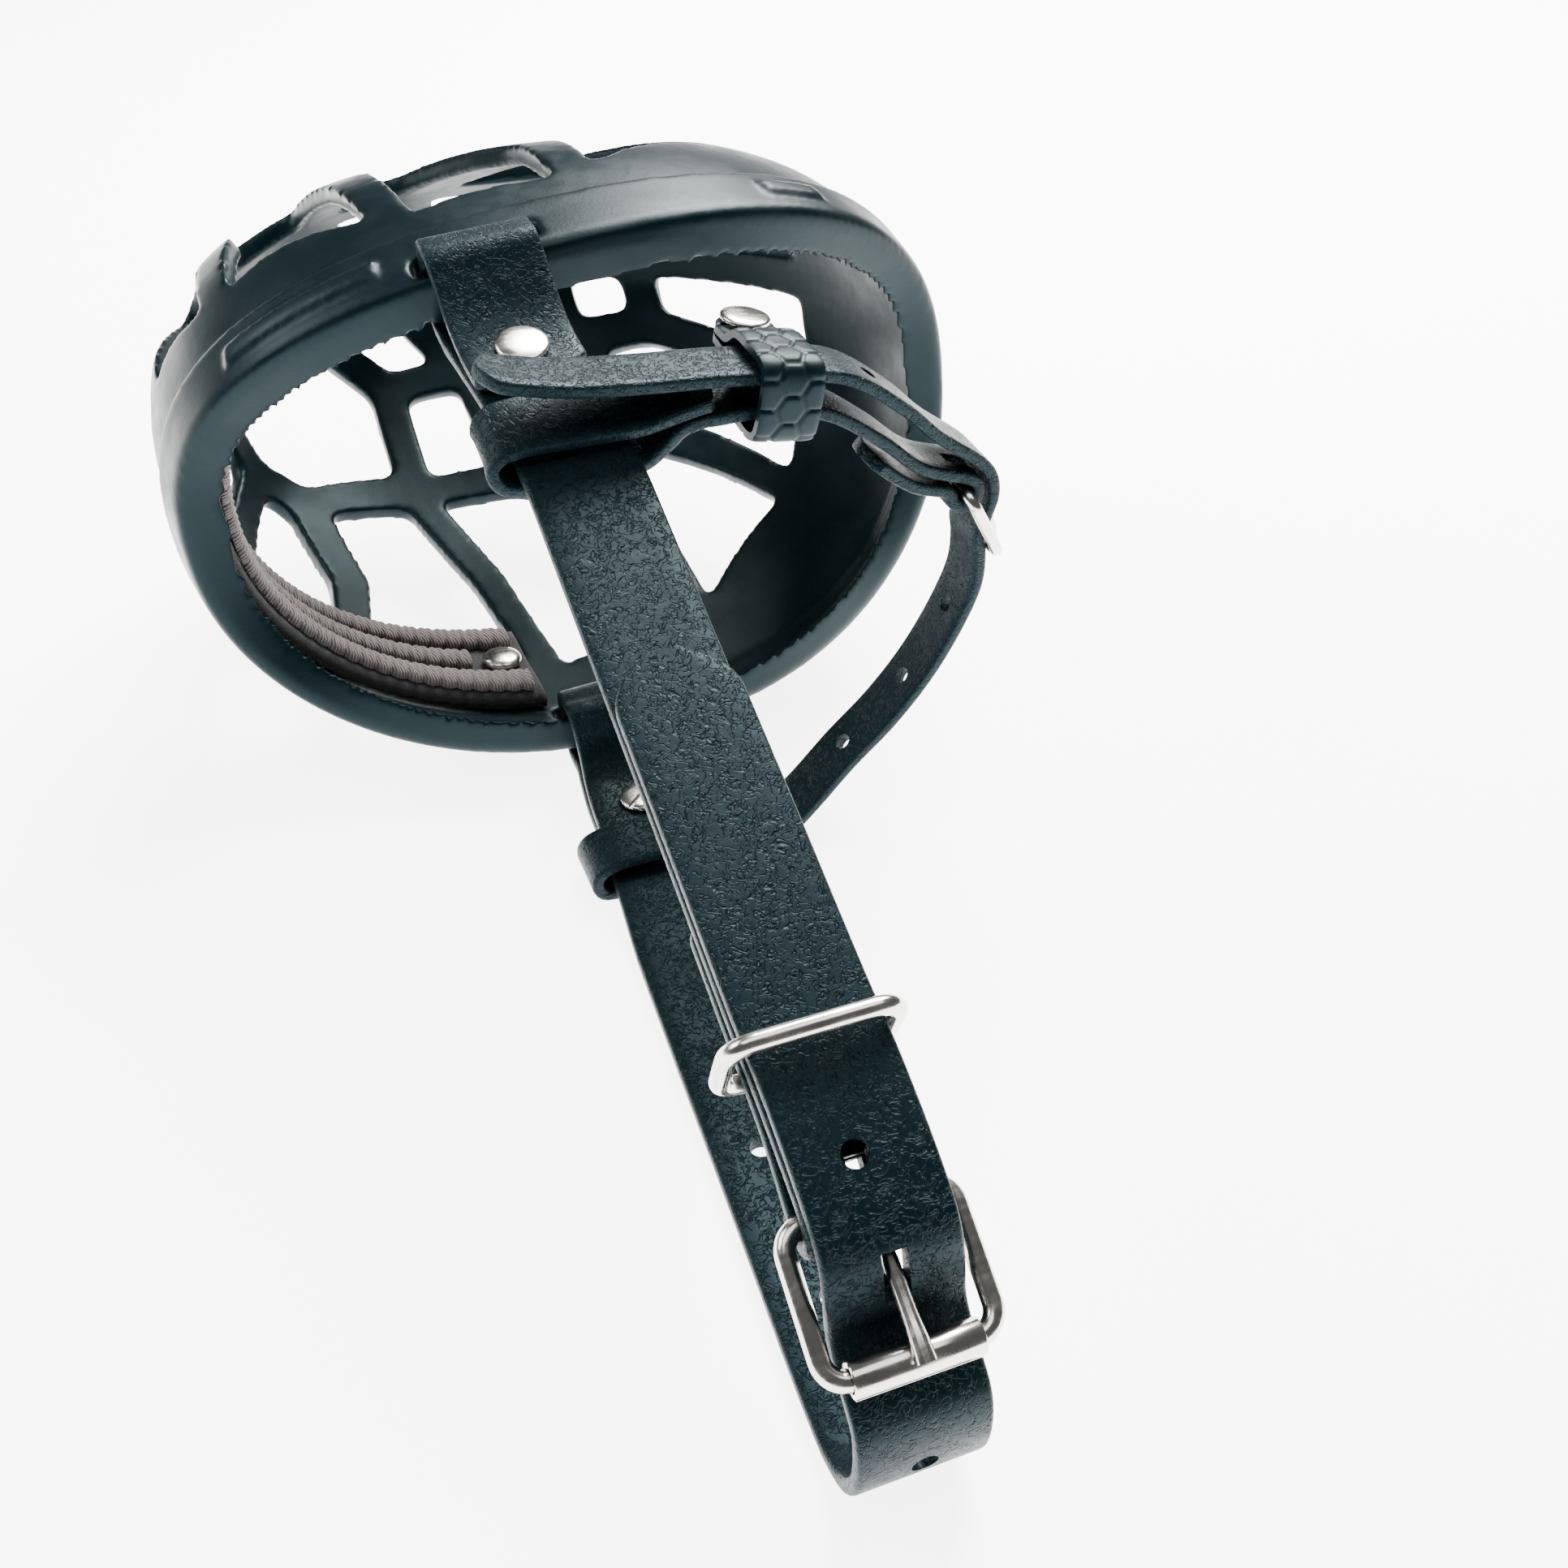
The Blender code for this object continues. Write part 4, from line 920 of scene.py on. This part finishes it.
TAB_OUT_RIGHT = RIM_HALF_HEIGHT + COLLAR_PROUD + 0.9 + GAP + STRAP_THICKNESS / 2
TAB_OUT_LEFT = TAB_OUT_RIGHT - 0.2
TOUCHING = GAP + STRAP_THICKNESS / 2
STRAND_IN = RIM_HALF_HEIGHT - COLLAR_INSIDE - TOUCHING - 4.3
STRAND_LIP = RIM_HALF_HEIGHT - LIP_INSIDE - TOUCHING - 3.6
SCREW_HEAD = 0.9
BUCKLE_ALONG = (ROLLER_CENTRE - HEEL_CENTRE).normalized()
BUCKLE_NORMAL = Vector((1, 0, 0)).cross(BUCKLE_ALONG).normalized() * -1.0
BUCKLE_AXES = (Vector((1, 0, 0)), BUCKLE_ALONG, BUCKLE_NORMAL)
NECK_HOLE = 1.7
STRAP_STEP = 0.9


def buckle_point(along, height):
    """A point of the neck buckle: distance from the heel bar towards the roller, and height."""
    return HEEL_CENTRE + BUCKLE_ALONG * along + BUCKLE_NORMAL * height


def heel_point(radius, degrees):
    return round_bar(HEEL_CENTRE, BUCKLE_NORMAL, BUCKLE_ALONG, radius, degrees)


def vectors(points):
    return [Vector(p) for p in points]


def round_bar(bar, above, forward, radius, degrees):
    """A point round a buckle's heel bar: 0 is above it, 90 towards the front bar, 180 below."""
    angle = math.radians(degrees)
    return bar + (above * math.cos(angle) + forward * math.sin(angle)) * radius


def kept_off_floor(path, half_thickness):
    """The path with no point lower than a strap lying on the floor."""
    return [Vector((p.x, p.y, max(p.z, half_thickness))) for p in path]


def slot_turn(side, tab_out):
    """Strap centreline at a cheek slot, from outside the collar to inside."""
    bend = 2.2
    spots = [(SLOT_Y - 6.5, tab_out), (SLOT_Y - 4.4, tab_out)]
    for degrees in (90, 60, 30, 0):
        angle = math.radians(degrees)
        spots.append((SLOT_Y - bend + bend * math.cos(angle), tab_out - bend + bend * math.sin(angle)))
    for degrees in (0, 30, 60, 90):
        angle = math.radians(degrees)
        spots.append((SLOT_Y - bend + bend * math.cos(angle), STRAND_IN + bend - bend * math.sin(angle)))
    spots += [(SLOT_Y - 5.0, STRAND_LIP + 0.3), (SLOT_Y - 8.0, STRAND_LIP)]
    return [slot_point(side, y, z) for y, z in spots]


def blended_across(path, near, far):
    """Width directions: the basket's own up to the near distance, level beyond the far one."""
    level = Vector((1.0, 0.0, 0.0))
    out = []
    for point in path:
        share = min(1.0, max(0.0, (-point.y - near) / (far - near)))
        out.append((CHIN * (1 - share) + level * share).normalized())
    return out


def trimmed(start_length, end_length, step):
    """Width along a strap with its corners rounded off over the given lengths at each end."""
    def scale(i, last):
        out = 1.0
        for distance, length in ((i * step, start_length), ((last - i) * step, end_length)):
            if distance < length:
                short = 1 - distance / length
                out = min(out, 1 - 0.72 * short ** 2.4)
        return out
    return scale


def finish_strap(strap, body, node, slot, holes=()):
    """Cuts the prong's slot, then the round holes given as (centre, axis, radius, reach)."""
    centre, size, axes = slot
    cut(strap, box("slot", centre, size, axes))
    for hole in holes:
        punch(strap, *hole)
    shade_sharp(strap, 40)
    place(strap, body, "strap", node)


def build_neck_buckle_strap():
    """From the turned-back tab, through the right slot, down to the buckle's heel and back."""
    tab = vectors([(-15.2, -46.5, 84.8), (-15.8, -40.0, 86.4), (-16.3, -34.8, 89.4), (-16.9, -30.2, 94.6)])
    strand = vectors([
        (-16.2, -36.0, 84.2), (-15.0, -46.0, 82.2), (-13.6, -60.0, 78.2), (-13.3, -78.0, 71.8),
        (-13.1, -97.0, 64.6), (-12.9, -120.0, 56.0), (-12.7, -140.0, 48.2), (-12.3, -152.0, 42.6),
    ])
    heel = [heel_point(2.9, degrees) for degrees in (0, 45, 90, 135, 180)]
    back = vectors([
        (-12.3, -150.6, 39.2), (-12.7, -139.0, 45.4), (-12.9, -127.5, 50.4), (-13.0, -124.0, 51.6),
    ])
    path = smooth_path(tab + slot_turn(1, TAB_OUT_RIGHT) + strand + heel + back, 8)
    path = even_path(path, STRAP_STEP)
    strap = ribbon(
        "neck_strap_long_run", path, blended_across(path, 28.0, 50.0), NECK_WIDTH, STRAP_THICKNESS,
        STRAP, trimmed(2.0, 5.0, STRAP_STEP),
    )
    slot = (buckle_point(0.4, 0.0), (3.4, 11.6, 9.8), BUCKLE_AXES)
    finish_strap(strap, "neck_strap", "neck_buckle_strap", slot)


def build_neck_tail_strap():
    """From the tab under the collar, through the left slot, along the floor, up and through the buckle."""
    floor = STRAP_THICKNESS / 2
    lifted = floor + SCREW_HEAD + GAP + 0.05
    tab = vectors([(-5.2, -54.5, lifted), (-4.9, -46.0, lifted), (-4.0, -38.0, lifted - 0.3)])
    strand = vectors([
        (-3.8, -37.5, 9.0), (-4.3, -42.5, lifted + LAYER + 0.8), (-4.8, -47.5, lifted + LAYER),
        (-5.3, -54.0, lifted + LAYER), (-6.0, -61.0, 3.9), (-6.6, -68.0, 3.6), (-7.6, -82.0, floor),
        (-8.6, -100.0, floor), (-10.4, -135.0, floor), (-11.8, -160.0, floor),
        (-12.1, -169.0, floor), (-12.1, -175.0, 3.4), (-12.1, -178.2, 8.4), (-12.1, -179.0, 14.0),
        (-12.0, -177.8, 18.6),
    ])
    through = [
        buckle_point(17.5, -(ROLLER_DIAMETER / 2 + GAP + STRAP_THICKNESS / 2 + 0.1)),
        buckle_point(12.6, -2.2), buckle_point(9.0, 1.6), buckle_point(5.0, 5.0),
        buckle_point(-1.0, 5.7),
    ]
    top = vectors([
        (-12.3, -151.5, 46.2), (-12.7, -141.2, 50.7), (-12.9, -121.0, 58.6), (-13.1, -98.0, 67.2),
        (-13.1, -95.0, 68.3),
    ])
    path = smooth_path(tab + slot_turn(-1, TAB_OUT_LEFT) + strand + through + top, 8)
    path = even_path(kept_off_floor(path, floor), STRAP_STEP)
    strap = ribbon(
        "neck_strap_tail", path, blended_across(path, 24.0, 42.0), NECK_WIDTH, STRAP_THICKNESS,
        STRAP, trimmed(2.0, 8.5, STRAP_STEP),
    )
    slot = (buckle_point(7.2, 3.4), (3.2, 12.4, 4.6), BUCKLE_AXES)
    upward = Vector((0, 0, 1))
    holes = [
        (Vector((-11.2, y, floor)), upward, NECK_HOLE, 2.5) for y in (-150.0, -137.0, -124.0)
    ]
    holes.append((Vector((-12.1, -178.6, 10.5)), Vector((0, 1, 0)), NECK_HOLE, 3.0))
    holes.append((Vector((-13.0, -159.0, 42.0)), Vector((0, -0.5, 0.87)), NECK_HOLE, 1.6))
    finish_strap(strap, "neck_strap", "neck_tail_strap", slot, holes)


def screw(name, centre, axis, below, above, head_below, head_above, slotted=False):
    """A two-part screw through stacked straps, with low domed heads."""
    axis = axis.normalized()
    shank = 1.3
    profile = []
    if head_below:
        profile += [
            (0.3, -below - SCREW_HEAD), (head_below * 0.6, -below - SCREW_HEAD),
            (head_below - 0.4, -below - SCREW_HEAD * 0.9), (head_below, -below - SCREW_HEAD * 0.5),
            (head_below, -below), (shank, -below),
        ]
    else:
        profile += [(0.3, -below), (shank, -below)]
    if head_above:
        rim = head_above
        profile += [
            (shank, above), (rim - 0.15, above), (rim, above + 0.15), (rim, above + 0.5),
            (rim - 0.12, above + 0.68), (rim * 0.86, above + 0.84), (rim * 0.6, above + 0.95),
            (rim * 0.3, above + 1.0), (0.2, above + 1.02),
        ]
    else:
        profile += [(shank, above), (0.3, above)]
    piece = turned(name, profile, centre, axis, NICKEL)
    if slotted:
        side = axis.cross(Vector((0.75, 0.66, 0))).normalized()
        top = centre + axis * (above + SCREW_HEAD)
        cut(piece, box("slot", top, (0.9, head_above * 3, 0.9), (side, axis.cross(side), axis)))
    shade_sharp(piece, 40)
    return piece


def build_neck_screws():
    half = LAYER / 2 + STRAP_THICKNESS / 2 + GAP
    right = screw("screw_right", Vector((-15.7, -41.0, 84.95)), Vector((0.0, -0.24, 0.971)),
                  half + 0.45, half + 0.1, 3.2, 3.9)
    place(right, "neck_strap", "nickel", "neck_screw_right")
    left_centre = Vector((-5.0, -49.5, 1.1 + SCREW_HEAD + GAP + 0.05 + LAYER / 2))
    left = screw("screw_left", left_centre, Vector((0, 0, 1)), half, half - 0.1, 3.2, 3.6, True)
    place(left, "neck_strap", "nickel", "neck_screw_left")
    heel = screw("screw_heel", Vector((-12.8, -131.0, 50.2)), Vector((0.0, -0.37, 0.93)),
                 half, LAYER / 2 + STRAP_THICKNESS / 2 - 0.1, 3.2, 0.0)
    place(heel, "neck_strap", "nickel", "neck_screw_heel")


def build_frame(name, body, node, heel, front, level, half_width, corner, wire, sides):
    """A wire frame between its heel bar and its front bar."""
    along = (front - heel).normalized()
    half_length = (front - heel).length / 2
    outline = loop_path((front + heel) / 2, level, along, half_width, half_length, corner)
    place(rod(name, outline, wire / 2, NICKEL, sides, True), body, "nickel", node)


def build_prong(name, body, node, path, step, radius, sides, tip_growth):
    """A prong whose last part widens or narrows by tip_growth."""
    tip_start = 0.85
    prong = rod(
        name, even_path(path, step), radius, NICKEL, sides, False,
        lambda share: 1.0 + tip_growth * max(0.0, share - tip_start) / (1.0 - tip_start),
    )
    shade_sharp(prong, 40)
    place(prong, body, "nickel", node)


def build_neck_buckle():
    level = Vector((1, 0, 0))
    half_width = (BUCKLE_INSIDE_WIDTH + WIRE) / 2
    build_frame("buckle_frame", "neck_buckle", "neck_buckle_frame", HEEL_CENTRE, ROLLER_CENTRE, level,
                half_width, 3.0, WIRE, 24)

    bore = WIRE / 2 + 0.2
    outer = ROLLER_DIAMETER / 2
    half = half_width - 2.6
    profile = [
        (bore, -half), (outer - 0.15, -half), (outer, 0.2 - half), (outer, half - 0.2),
        (outer - 0.15, half), (bore, half),
    ]
    roller = turned("buckle_roller", profile, ROLLER_CENTRE, level, NICKEL, 48, True)
    lip_direction = (BUCKLE_ALONG * 0.85 - BUCKLE_NORMAL * 0.5).normalized()
    lip_centre = ROLLER_CENTRE + lip_direction * (outer - 0.05)
    lip_axes = (level, level.cross(lip_direction), lip_direction)
    lip = box("lip", lip_centre, (2 * half - 0.3, 1.2, 0.4), lip_axes)
    soften = lip.modifiers.new("soften", "BEVEL")
    soften.width = 0.12 * MM
    soften.segments = 3
    bake_modifiers(lip)
    join(roller, [lip])
    shade_sharp(roller, 40)
    place(roller, "neck_roller", "nickel", "neck_buckle_roller")

    prong_radius = 1.0
    reach = WIRE / 2 + GAP + prong_radius
    path = [heel_point(reach, degrees) for degrees in range(-285, 1, 15)]
    path += smooth_path([
        buckle_point(2.0, reach), buckle_point(5.0, reach + 0.1), buckle_point(11.0, reach + 0.5),
        buckle_point(15.6, outer + GAP + prong_radius + 0.2),
        buckle_point(18.2, outer + GAP + prong_radius + 0.3),
    ], 6)
    build_prong("buckle_prong", "neck_prong", "neck_buckle_prong", path, 0.6, prong_radius, 20, 0.35)


def build_neck_keeper():
    """Bent wire loop round the layered strap."""
    across = Vector((1, 0, 0))
    centre = Vector((-12.8, -145.0, 45.6))
    slope = Vector((0.0, -0.927, -0.375))
    normal = across.cross(slope).normalized() * -1.0
    outline = loop_path(centre, across, normal, 10.6, 6.6, 3.2)
    ring = rod("keeper_ring", outline, 1.25, NICKEL, 24, True)
    place(ring, "neck_ring", "nickel", "neck_keeper_ring")


# ---------------------------------------------------------------- throat strap

THROAT_Y = -56.0
LOWER_SLEEVE_Y = -61.0
UPPER_SLEEVE = Vector((-13.6, THROAT_Y, 79.7))
THROAT_LAYER = THROAT_THICKNESS + GAP
THROAT_HEEL = Vector((47.2, THROAT_Y, 60.4))
THROAT_FRONT = Vector((52.8, THROAT_Y, 49.4))
THROAT_WIRE = 2.0
THROAT_ALONG = (THROAT_FRONT - THROAT_HEEL).normalized()
THROAT_OUT = Vector((-THROAT_ALONG.z, 0.0, THROAT_ALONG.x))
THROAT_AXES = (Vector((0, 1, 0)), THROAT_ALONG, THROAT_OUT)
THROAT_HOLE = 1.4
THROAT_STEP = STRAP_STEP * 0.8


def throat_point(along, height):
    """A point of the throat buckle: distance from its heel bar to the front bar, and height outwards."""
    return THROAT_HEEL + THROAT_ALONG * along + THROAT_OUT * height


def throat_heel_point(radius, degrees):
    return round_bar(THROAT_HEEL, THROAT_OUT, THROAT_ALONG, radius, degrees)


def plane_path(spots, y_of_x=lambda x: THROAT_Y):
    """Points from (x, z) pairs in the plane of the throat loop, or off it by a rule."""
    return [Vector((x, y_of_x(x), z)) for x, z in spots]


def throat_across(path, sleeve_direction=Vector((0.0, 1.0, 0.0))):
    """Width directions: along the neck strap at the sleeve, straight along Y in the loop."""
    level = Vector((0.0, 1.0, 0.0))
    twist_start = -3.5
    twist_end = 5.5
    out = []
    for point in path:
        share = (point.x - twist_start) / (twist_end - twist_start)
        share = min(1.0, max(0.0, share))
        out.append((sleeve_direction * (1 - share) + level * share).normalized())
    return out


def build_throat_buckle_strap():
    """Sleeve round the upper neck strand, then the short length that holds the throat buckle."""
    x, z = UPPER_SLEEVE.x, UPPER_SLEEVE.z
    reach = NECK_WIDTH / 2
    sleeve = plane_path([
        (7.5, z + 3.4), (2.0, z + 3.3), (-2.6, z + 3.0), (x + reach - 1.0, z + 2.9), (x, z + 3.0),
        (x - reach + 1.0, z + 3.0), (x - reach - 2.0, z + 2.2), (x - reach - 3.2, z),
        (x - reach - 2.0, z - 2.2), (x - reach + 1.0, z - 3.0), (x, z - 3.0),
        (x + reach + 0.4, z - 2.8), (-0.8, z - 0.8), (2.0, z + 1.0), (7.5, z + 1.1),
    ])
    run = plane_path([(15.0, z + 0.9), (24.0, z - 1.4), (32.6, z - 7.4), (39.8, z - 13.6)])
    heel = [throat_heel_point(2.4, degrees) for degrees in (-40, 0, 50, 90, 130, 180, 215)]
    back = plane_path([(38.4, z - 16.4), (31.6, z - 11.0)])
    path = even_path(smooth_path(sleeve + run + heel + back, 8), THROAT_STEP)
    across = throat_across(path, Vector((0.0, 0.939, 0.344)))
    strap = ribbon("throat_strap_short_run", path, across, THROAT_WIDTH, THROAT_THICKNESS, STRAP,
                   trimmed(1.5, 1.5, THROAT_STEP))
    slot = (throat_point(0.2, 0.0), (2.8, 10.4, 8.4), THROAT_AXES)
    finish_strap(strap, "throat_strap", "throat_buckle_strap", slot)


def build_throat_tail_strap():
    """Sleeve round the lower neck strand, then the holed length through buckle and keeper."""
    x, z = -6.3, 3.8
    reach = NECK_WIDTH / 2

    def swing(px):
        share = min(1.0, max(0.0, (px - 6.0) / 20.0))
        return LOWER_SLEEVE_Y + (THROAT_Y - LOWER_SLEEVE_Y) * share

    half = THROAT_THICKNESS / 2
    sleeve = plane_path([
        (13.0, half + THROAT_LAYER + 0.5), (9.0, half + THROAT_LAYER + 0.5), (5.8, z + 1.2),
        (x + reach + 0.1, z + 3.5), (x, z + 3.5), (x - reach + 1.0, z + 3.2),
        (x - reach - 2.0, z + 2.0), (x - reach - 2.8, z - 0.2), (x - reach - 1.8, half + 0.5),
        (x - reach + 1.0, half), (x, half), (x + reach, half), (9.0, half + 0.4), (13.0, half + 0.5),
    ], swing)
    run = plane_path([
        (17.0, 2.6), (22.0, 5.6), (29.0, 11.8), (36.3, 18.8), (42.8, 27.0), (47.8, 36.0),
        (50.4, 43.0),
    ], swing)
    through = [
        throat_point(12.3, -2.4), throat_point(9.0, -1.2), throat_point(6.2, 1.4),
        throat_point(3.2, 4.0), throat_point(-1.0, 4.9),
    ]
    top = plane_path([
        (42.0, 71.2), (36.5, 76.6), (27.0, 83.4), (17.0, 85.4), (8.0, 86.6), (-3.0, 87.6),
        (-14.0, 89.0), (-22.0, 91.0), (-25.5, 92.2),
    ])
    path = kept_off_floor(smooth_path(sleeve + run + through + top, 8), half)
    path = even_path(path, THROAT_STEP)
    strap = ribbon("throat_strap_tail", path, throat_across(path), THROAT_WIDTH, THROAT_THICKNESS,
                   STRAP, trimmed(1.5, 3.2, THROAT_STEP))
    slot = (throat_point(4.6, 2.9), (2.4, 8.6, 3.4), THROAT_AXES)
    holes = []
    for x, z, lean_x, lean_z, through_by in (
        (30.0, 12.8, -0.67, 0.74, 2.0), (40.6, 24.1, -0.76, 0.65, 2.0),
        (48.1, 36.8, -0.9, 0.43, 2.0), (31.8, 81.0, 0.55, 0.83, 1.6),
    ):
        holes.append((Vector((x, THROAT_Y, z)), Vector((lean_x, 0, lean_z)), THROAT_HOLE, through_by))
    finish_strap(strap, "throat_strap", "throat_tail_strap", slot, holes)


def build_throat_screws():
    half = THROAT_LAYER / 2 + THROAT_THICKNESS / 2 + GAP
    upper = screw("sleeve_screw_upper", Vector((4.8, THROAT_Y, UPPER_SLEEVE.z + 2.25)),
                  Vector((0, -0.03, 1)), half, half - 0.55, 3.0, 0.0)
    place(upper, "throat_strap", "nickel", "throat_screw_upper")
    lower = screw("sleeve_screw_lower", Vector((10.9, LOWER_SLEEVE_Y + 0.6, 2.9)),
                  Vector((0, 0, 1)), half - 0.55, half + 0.1, 0.0, 3.0)
    place(lower, "throat_strap", "nickel", "throat_screw_lower")


def build_throat_buckle():
    half_width = THROAT_WIDTH / 2 + 0.8 + THROAT_WIRE / 2
    build_frame("throat_frame", "throat_buckle", "throat_buckle_frame", THROAT_HEEL, THROAT_FRONT,
                Vector((0, 1, 0)), half_width, 2.2, THROAT_WIRE, 20)
    prong_radius = 0.8
    reach = THROAT_WIRE / 2 + GAP + prong_radius
    path = [throat_heel_point(reach, degrees) for degrees in range(-285, 1, 15)]
    path += smooth_path([
        throat_point(1.5, reach), throat_point(4.0, reach + 0.1), throat_point(8.0, reach + 0.2),
        throat_point(12.3, reach + 0.1), throat_point(14.6, reach - 0.4),
    ], 6)
    build_prong("throat_prong", "throat_prong", "throat_buckle_prong", path, 0.5, prong_radius, 16, -0.3)


THROAT_KEEPER_CENTRE = Vector((17.0, THROAT_Y, 82.4))
THROAT_KEEPER_ALONG = Vector((0.985, 0.0, -0.17)).normalized()
KEEPER_THICKNESS = 1.6
KEEPER_WIDTH = 9.4
HEXAGON = 4.2
GROOVE = 0.3


def hexagon_groove(along, across):
    """Depth of the moulded groove at a point of a hexagon pattern, from 0 to 1."""
    root = math.sqrt(3)
    best = []
    for shift_a, shift_b in ((0.0, 0.0), (HEXAGON / 2, HEXAGON * root / 2)):
        a = (along - shift_a) / HEXAGON
        b = (across - shift_b) / (HEXAGON * root)
        best.append(math.hypot((a - round(a)) * HEXAGON, (b - round(b)) * HEXAGON * root))
        for side in (-1, 1):
            best.append(math.hypot((a - round(a) + side) * HEXAGON, (b - round(b)) * HEXAGON * root))
    best.sort()
    edge_distance = (best[1] - best[0]) / 2
    return max(0.0, 1.0 - edge_distance / 0.42)


def build_throat_keeper():
    """Rubber loop with a hexagon relief, its ends pinched together by a screw."""
    across = Vector((0, 1, 0))
    normal = THROAT_KEEPER_ALONG.cross(across)
    half_a = THROAT_WIDTH / 2 + 2.0
    half_b = 5.7
    pinch = 0.85

    def at(a, b):
        return THROAT_KEEPER_CENTRE + across * a + normal * b

    spots = [
        at(16.6, 2.2 + pinch), at(11.5, 2.2 + pinch), at(8.4, 3.4), at(half_a - 1.4, half_b - 0.4),
        at(half_a - 3.6, half_b), at(0, half_b), at(2.4 - half_a, half_b), at(0.7 - half_a, half_b - 0.7),
        at(-half_a, half_b - 2.4), at(-half_a, 2.4 - half_b), at(0.7 - half_a, 0.7 - half_b),
        at(2.4 - half_a, -half_b), at(0, -half_b), at(half_a - 2.4, -half_b),
        at(half_a - 0.7, 0.7 - half_b), at(half_a, 2.4 - half_b), at(half_a + 0.1, -1.0),
        at(half_a + 1.6, 0.9), at(11.5, 2.2 - pinch), at(16.6, 2.2 - pinch),
    ]
    step = 0.3
    path = even_path(smooth_path(spots, 10), step)
    last = len(path) - 1
    flat_steps = 30
    rings = []
    for i, point in enumerate(path):
        tangent = (path[min(i + 1, last)] - path[max(i - 1, 0)]).normalized()
        outward = THROAT_KEEPER_ALONG.cross(tangent).normalized() * -1.0
        run = i * step
        end = min(i, last - i) * step
        round_end = math.sqrt(max(0.04, 1 - max(0.0, 1 - end / 4.6) ** 2))
        w = KEEPER_WIDTH / 2 * round_end
        t = KEEPER_THICKNESS / 2
        ring = []
        for k in range(flat_steps + 1):
            a = w - 2 * w * k / flat_steps
            rise = t - 0.25 * (abs(a) / w) ** 8 - GROOVE * hexagon_groove(run, a)
            ring.append(point + THROAT_KEEPER_ALONG * a + outward * rise)
        for a in (-w, 0.0, w):
            ring.append(point + THROAT_KEEPER_ALONG * a - outward * (t - (0.2 if a else 0.0)))
        rings.append(ring)
    points, faces = sweep_rings(rings)
    keeper = make_piece("throat_strap_keeper", points, faces, RUBBER)
    shade_sharp(keeper, 60)
    place(keeper, "throat_loop_keeper", "rubber", "throat_keeper")
    centre = THROAT_KEEPER_CENTRE + across * 13.1 + normal * 2.2
    cap = screw("keeper_screw", centre, normal, 1.7 + GAP, 1.7 + GAP, 3.4, 3.8)
    place(cap, "throat_loop_keeper", "nickel", "throat_keeper_screw")


# ---------------------------------------------------------------- stage


def build_floor():
    half = 1.6
    mesh = bpy.data.meshes.new("floor")
    below = -0.0002
    corners = [(-half, -half, below), (half, -half, below), (half, half, below), (-half, half, below)]
    mesh.from_pydata(corners, [], [(0, 1, 2, 3)])
    mesh.materials.append(floor_material())
    link("floor", mesh)


def area_light(name, place_at, target, size, power, colour=(1.0, 1.0, 1.0)):
    data = bpy.data.lights.new(name, "AREA")
    data.shape = "RECTANGLE"
    data.size, data.size_y = size
    data.energy = power
    data.color = colour
    light = link(name, data)
    light.location = place_at
    light.rotation_euler = (Vector(target) - Vector(place_at)).to_track_quat("-Z", "Y").to_euler()


def build_light():
    world = bpy.data.worlds.new("studio")
    world.use_nodes = True
    background = world.node_tree.nodes["Background"]
    background.inputs["Color"].default_value = (0.96, 0.98, 1.0, 1.0)
    background.inputs["Strength"].default_value = 0.14
    bpy.context.scene.world = world
    area_light("key", (0.34, 0.42, 0.62), (0.0, 0.0, 0.03), (0.42, 0.42), 32.0, (1.0, 0.99, 0.97))
    area_light("overhead", (0.0, -0.1, 0.8), (0.0, -0.1, 0.0), (0.9, 0.4), 4.0)
    area_light("window", (-0.55, 0.25, 0.5), (0.0, 0.0, 0.03), (0.5, 0.3), 5.0, (0.95, 0.98, 1.0))


def build_camera():
    azimuth = math.radians(-21.1)
    elevation = math.radians(39.5)
    roll = math.radians(-0.2)
    target = to_row((21.8, -47.8, 0.0))
    distance = 0.3129
    back = Vector((
        math.sin(azimuth) * math.cos(elevation),
        -math.cos(azimuth) * math.cos(elevation),
        math.sin(elevation),
    ))
    right = Vector((math.cos(azimuth), math.sin(azimuth), 0.0))
    upward = back.cross(right)
    turned_right = right * math.cos(roll) + upward * math.sin(roll)
    turned_up = upward * math.cos(roll) - right * math.sin(roll)
    data = bpy.data.cameras.new("camera")
    data.sensor_width = 36.0
    data.lens = 40.37
    data.clip_start = 0.01
    camera = link("camera", data)
    place_at = target + back * distance
    camera.matrix_world = Matrix.Translation(place_at) @ Matrix(
        (turned_right, turned_up, back)
    ).transposed().to_4x4()
    bpy.context.scene.camera = camera


build_basket()
build_lining()
build_neck_buckle_strap()
build_neck_tail_strap()
build_neck_screws()
build_neck_buckle()
build_neck_keeper()
build_throat_buckle_strap()
build_throat_tail_strap()
build_throat_screws()
build_throat_buckle()
build_throat_keeper()
build_floor()
build_light()
build_camera()
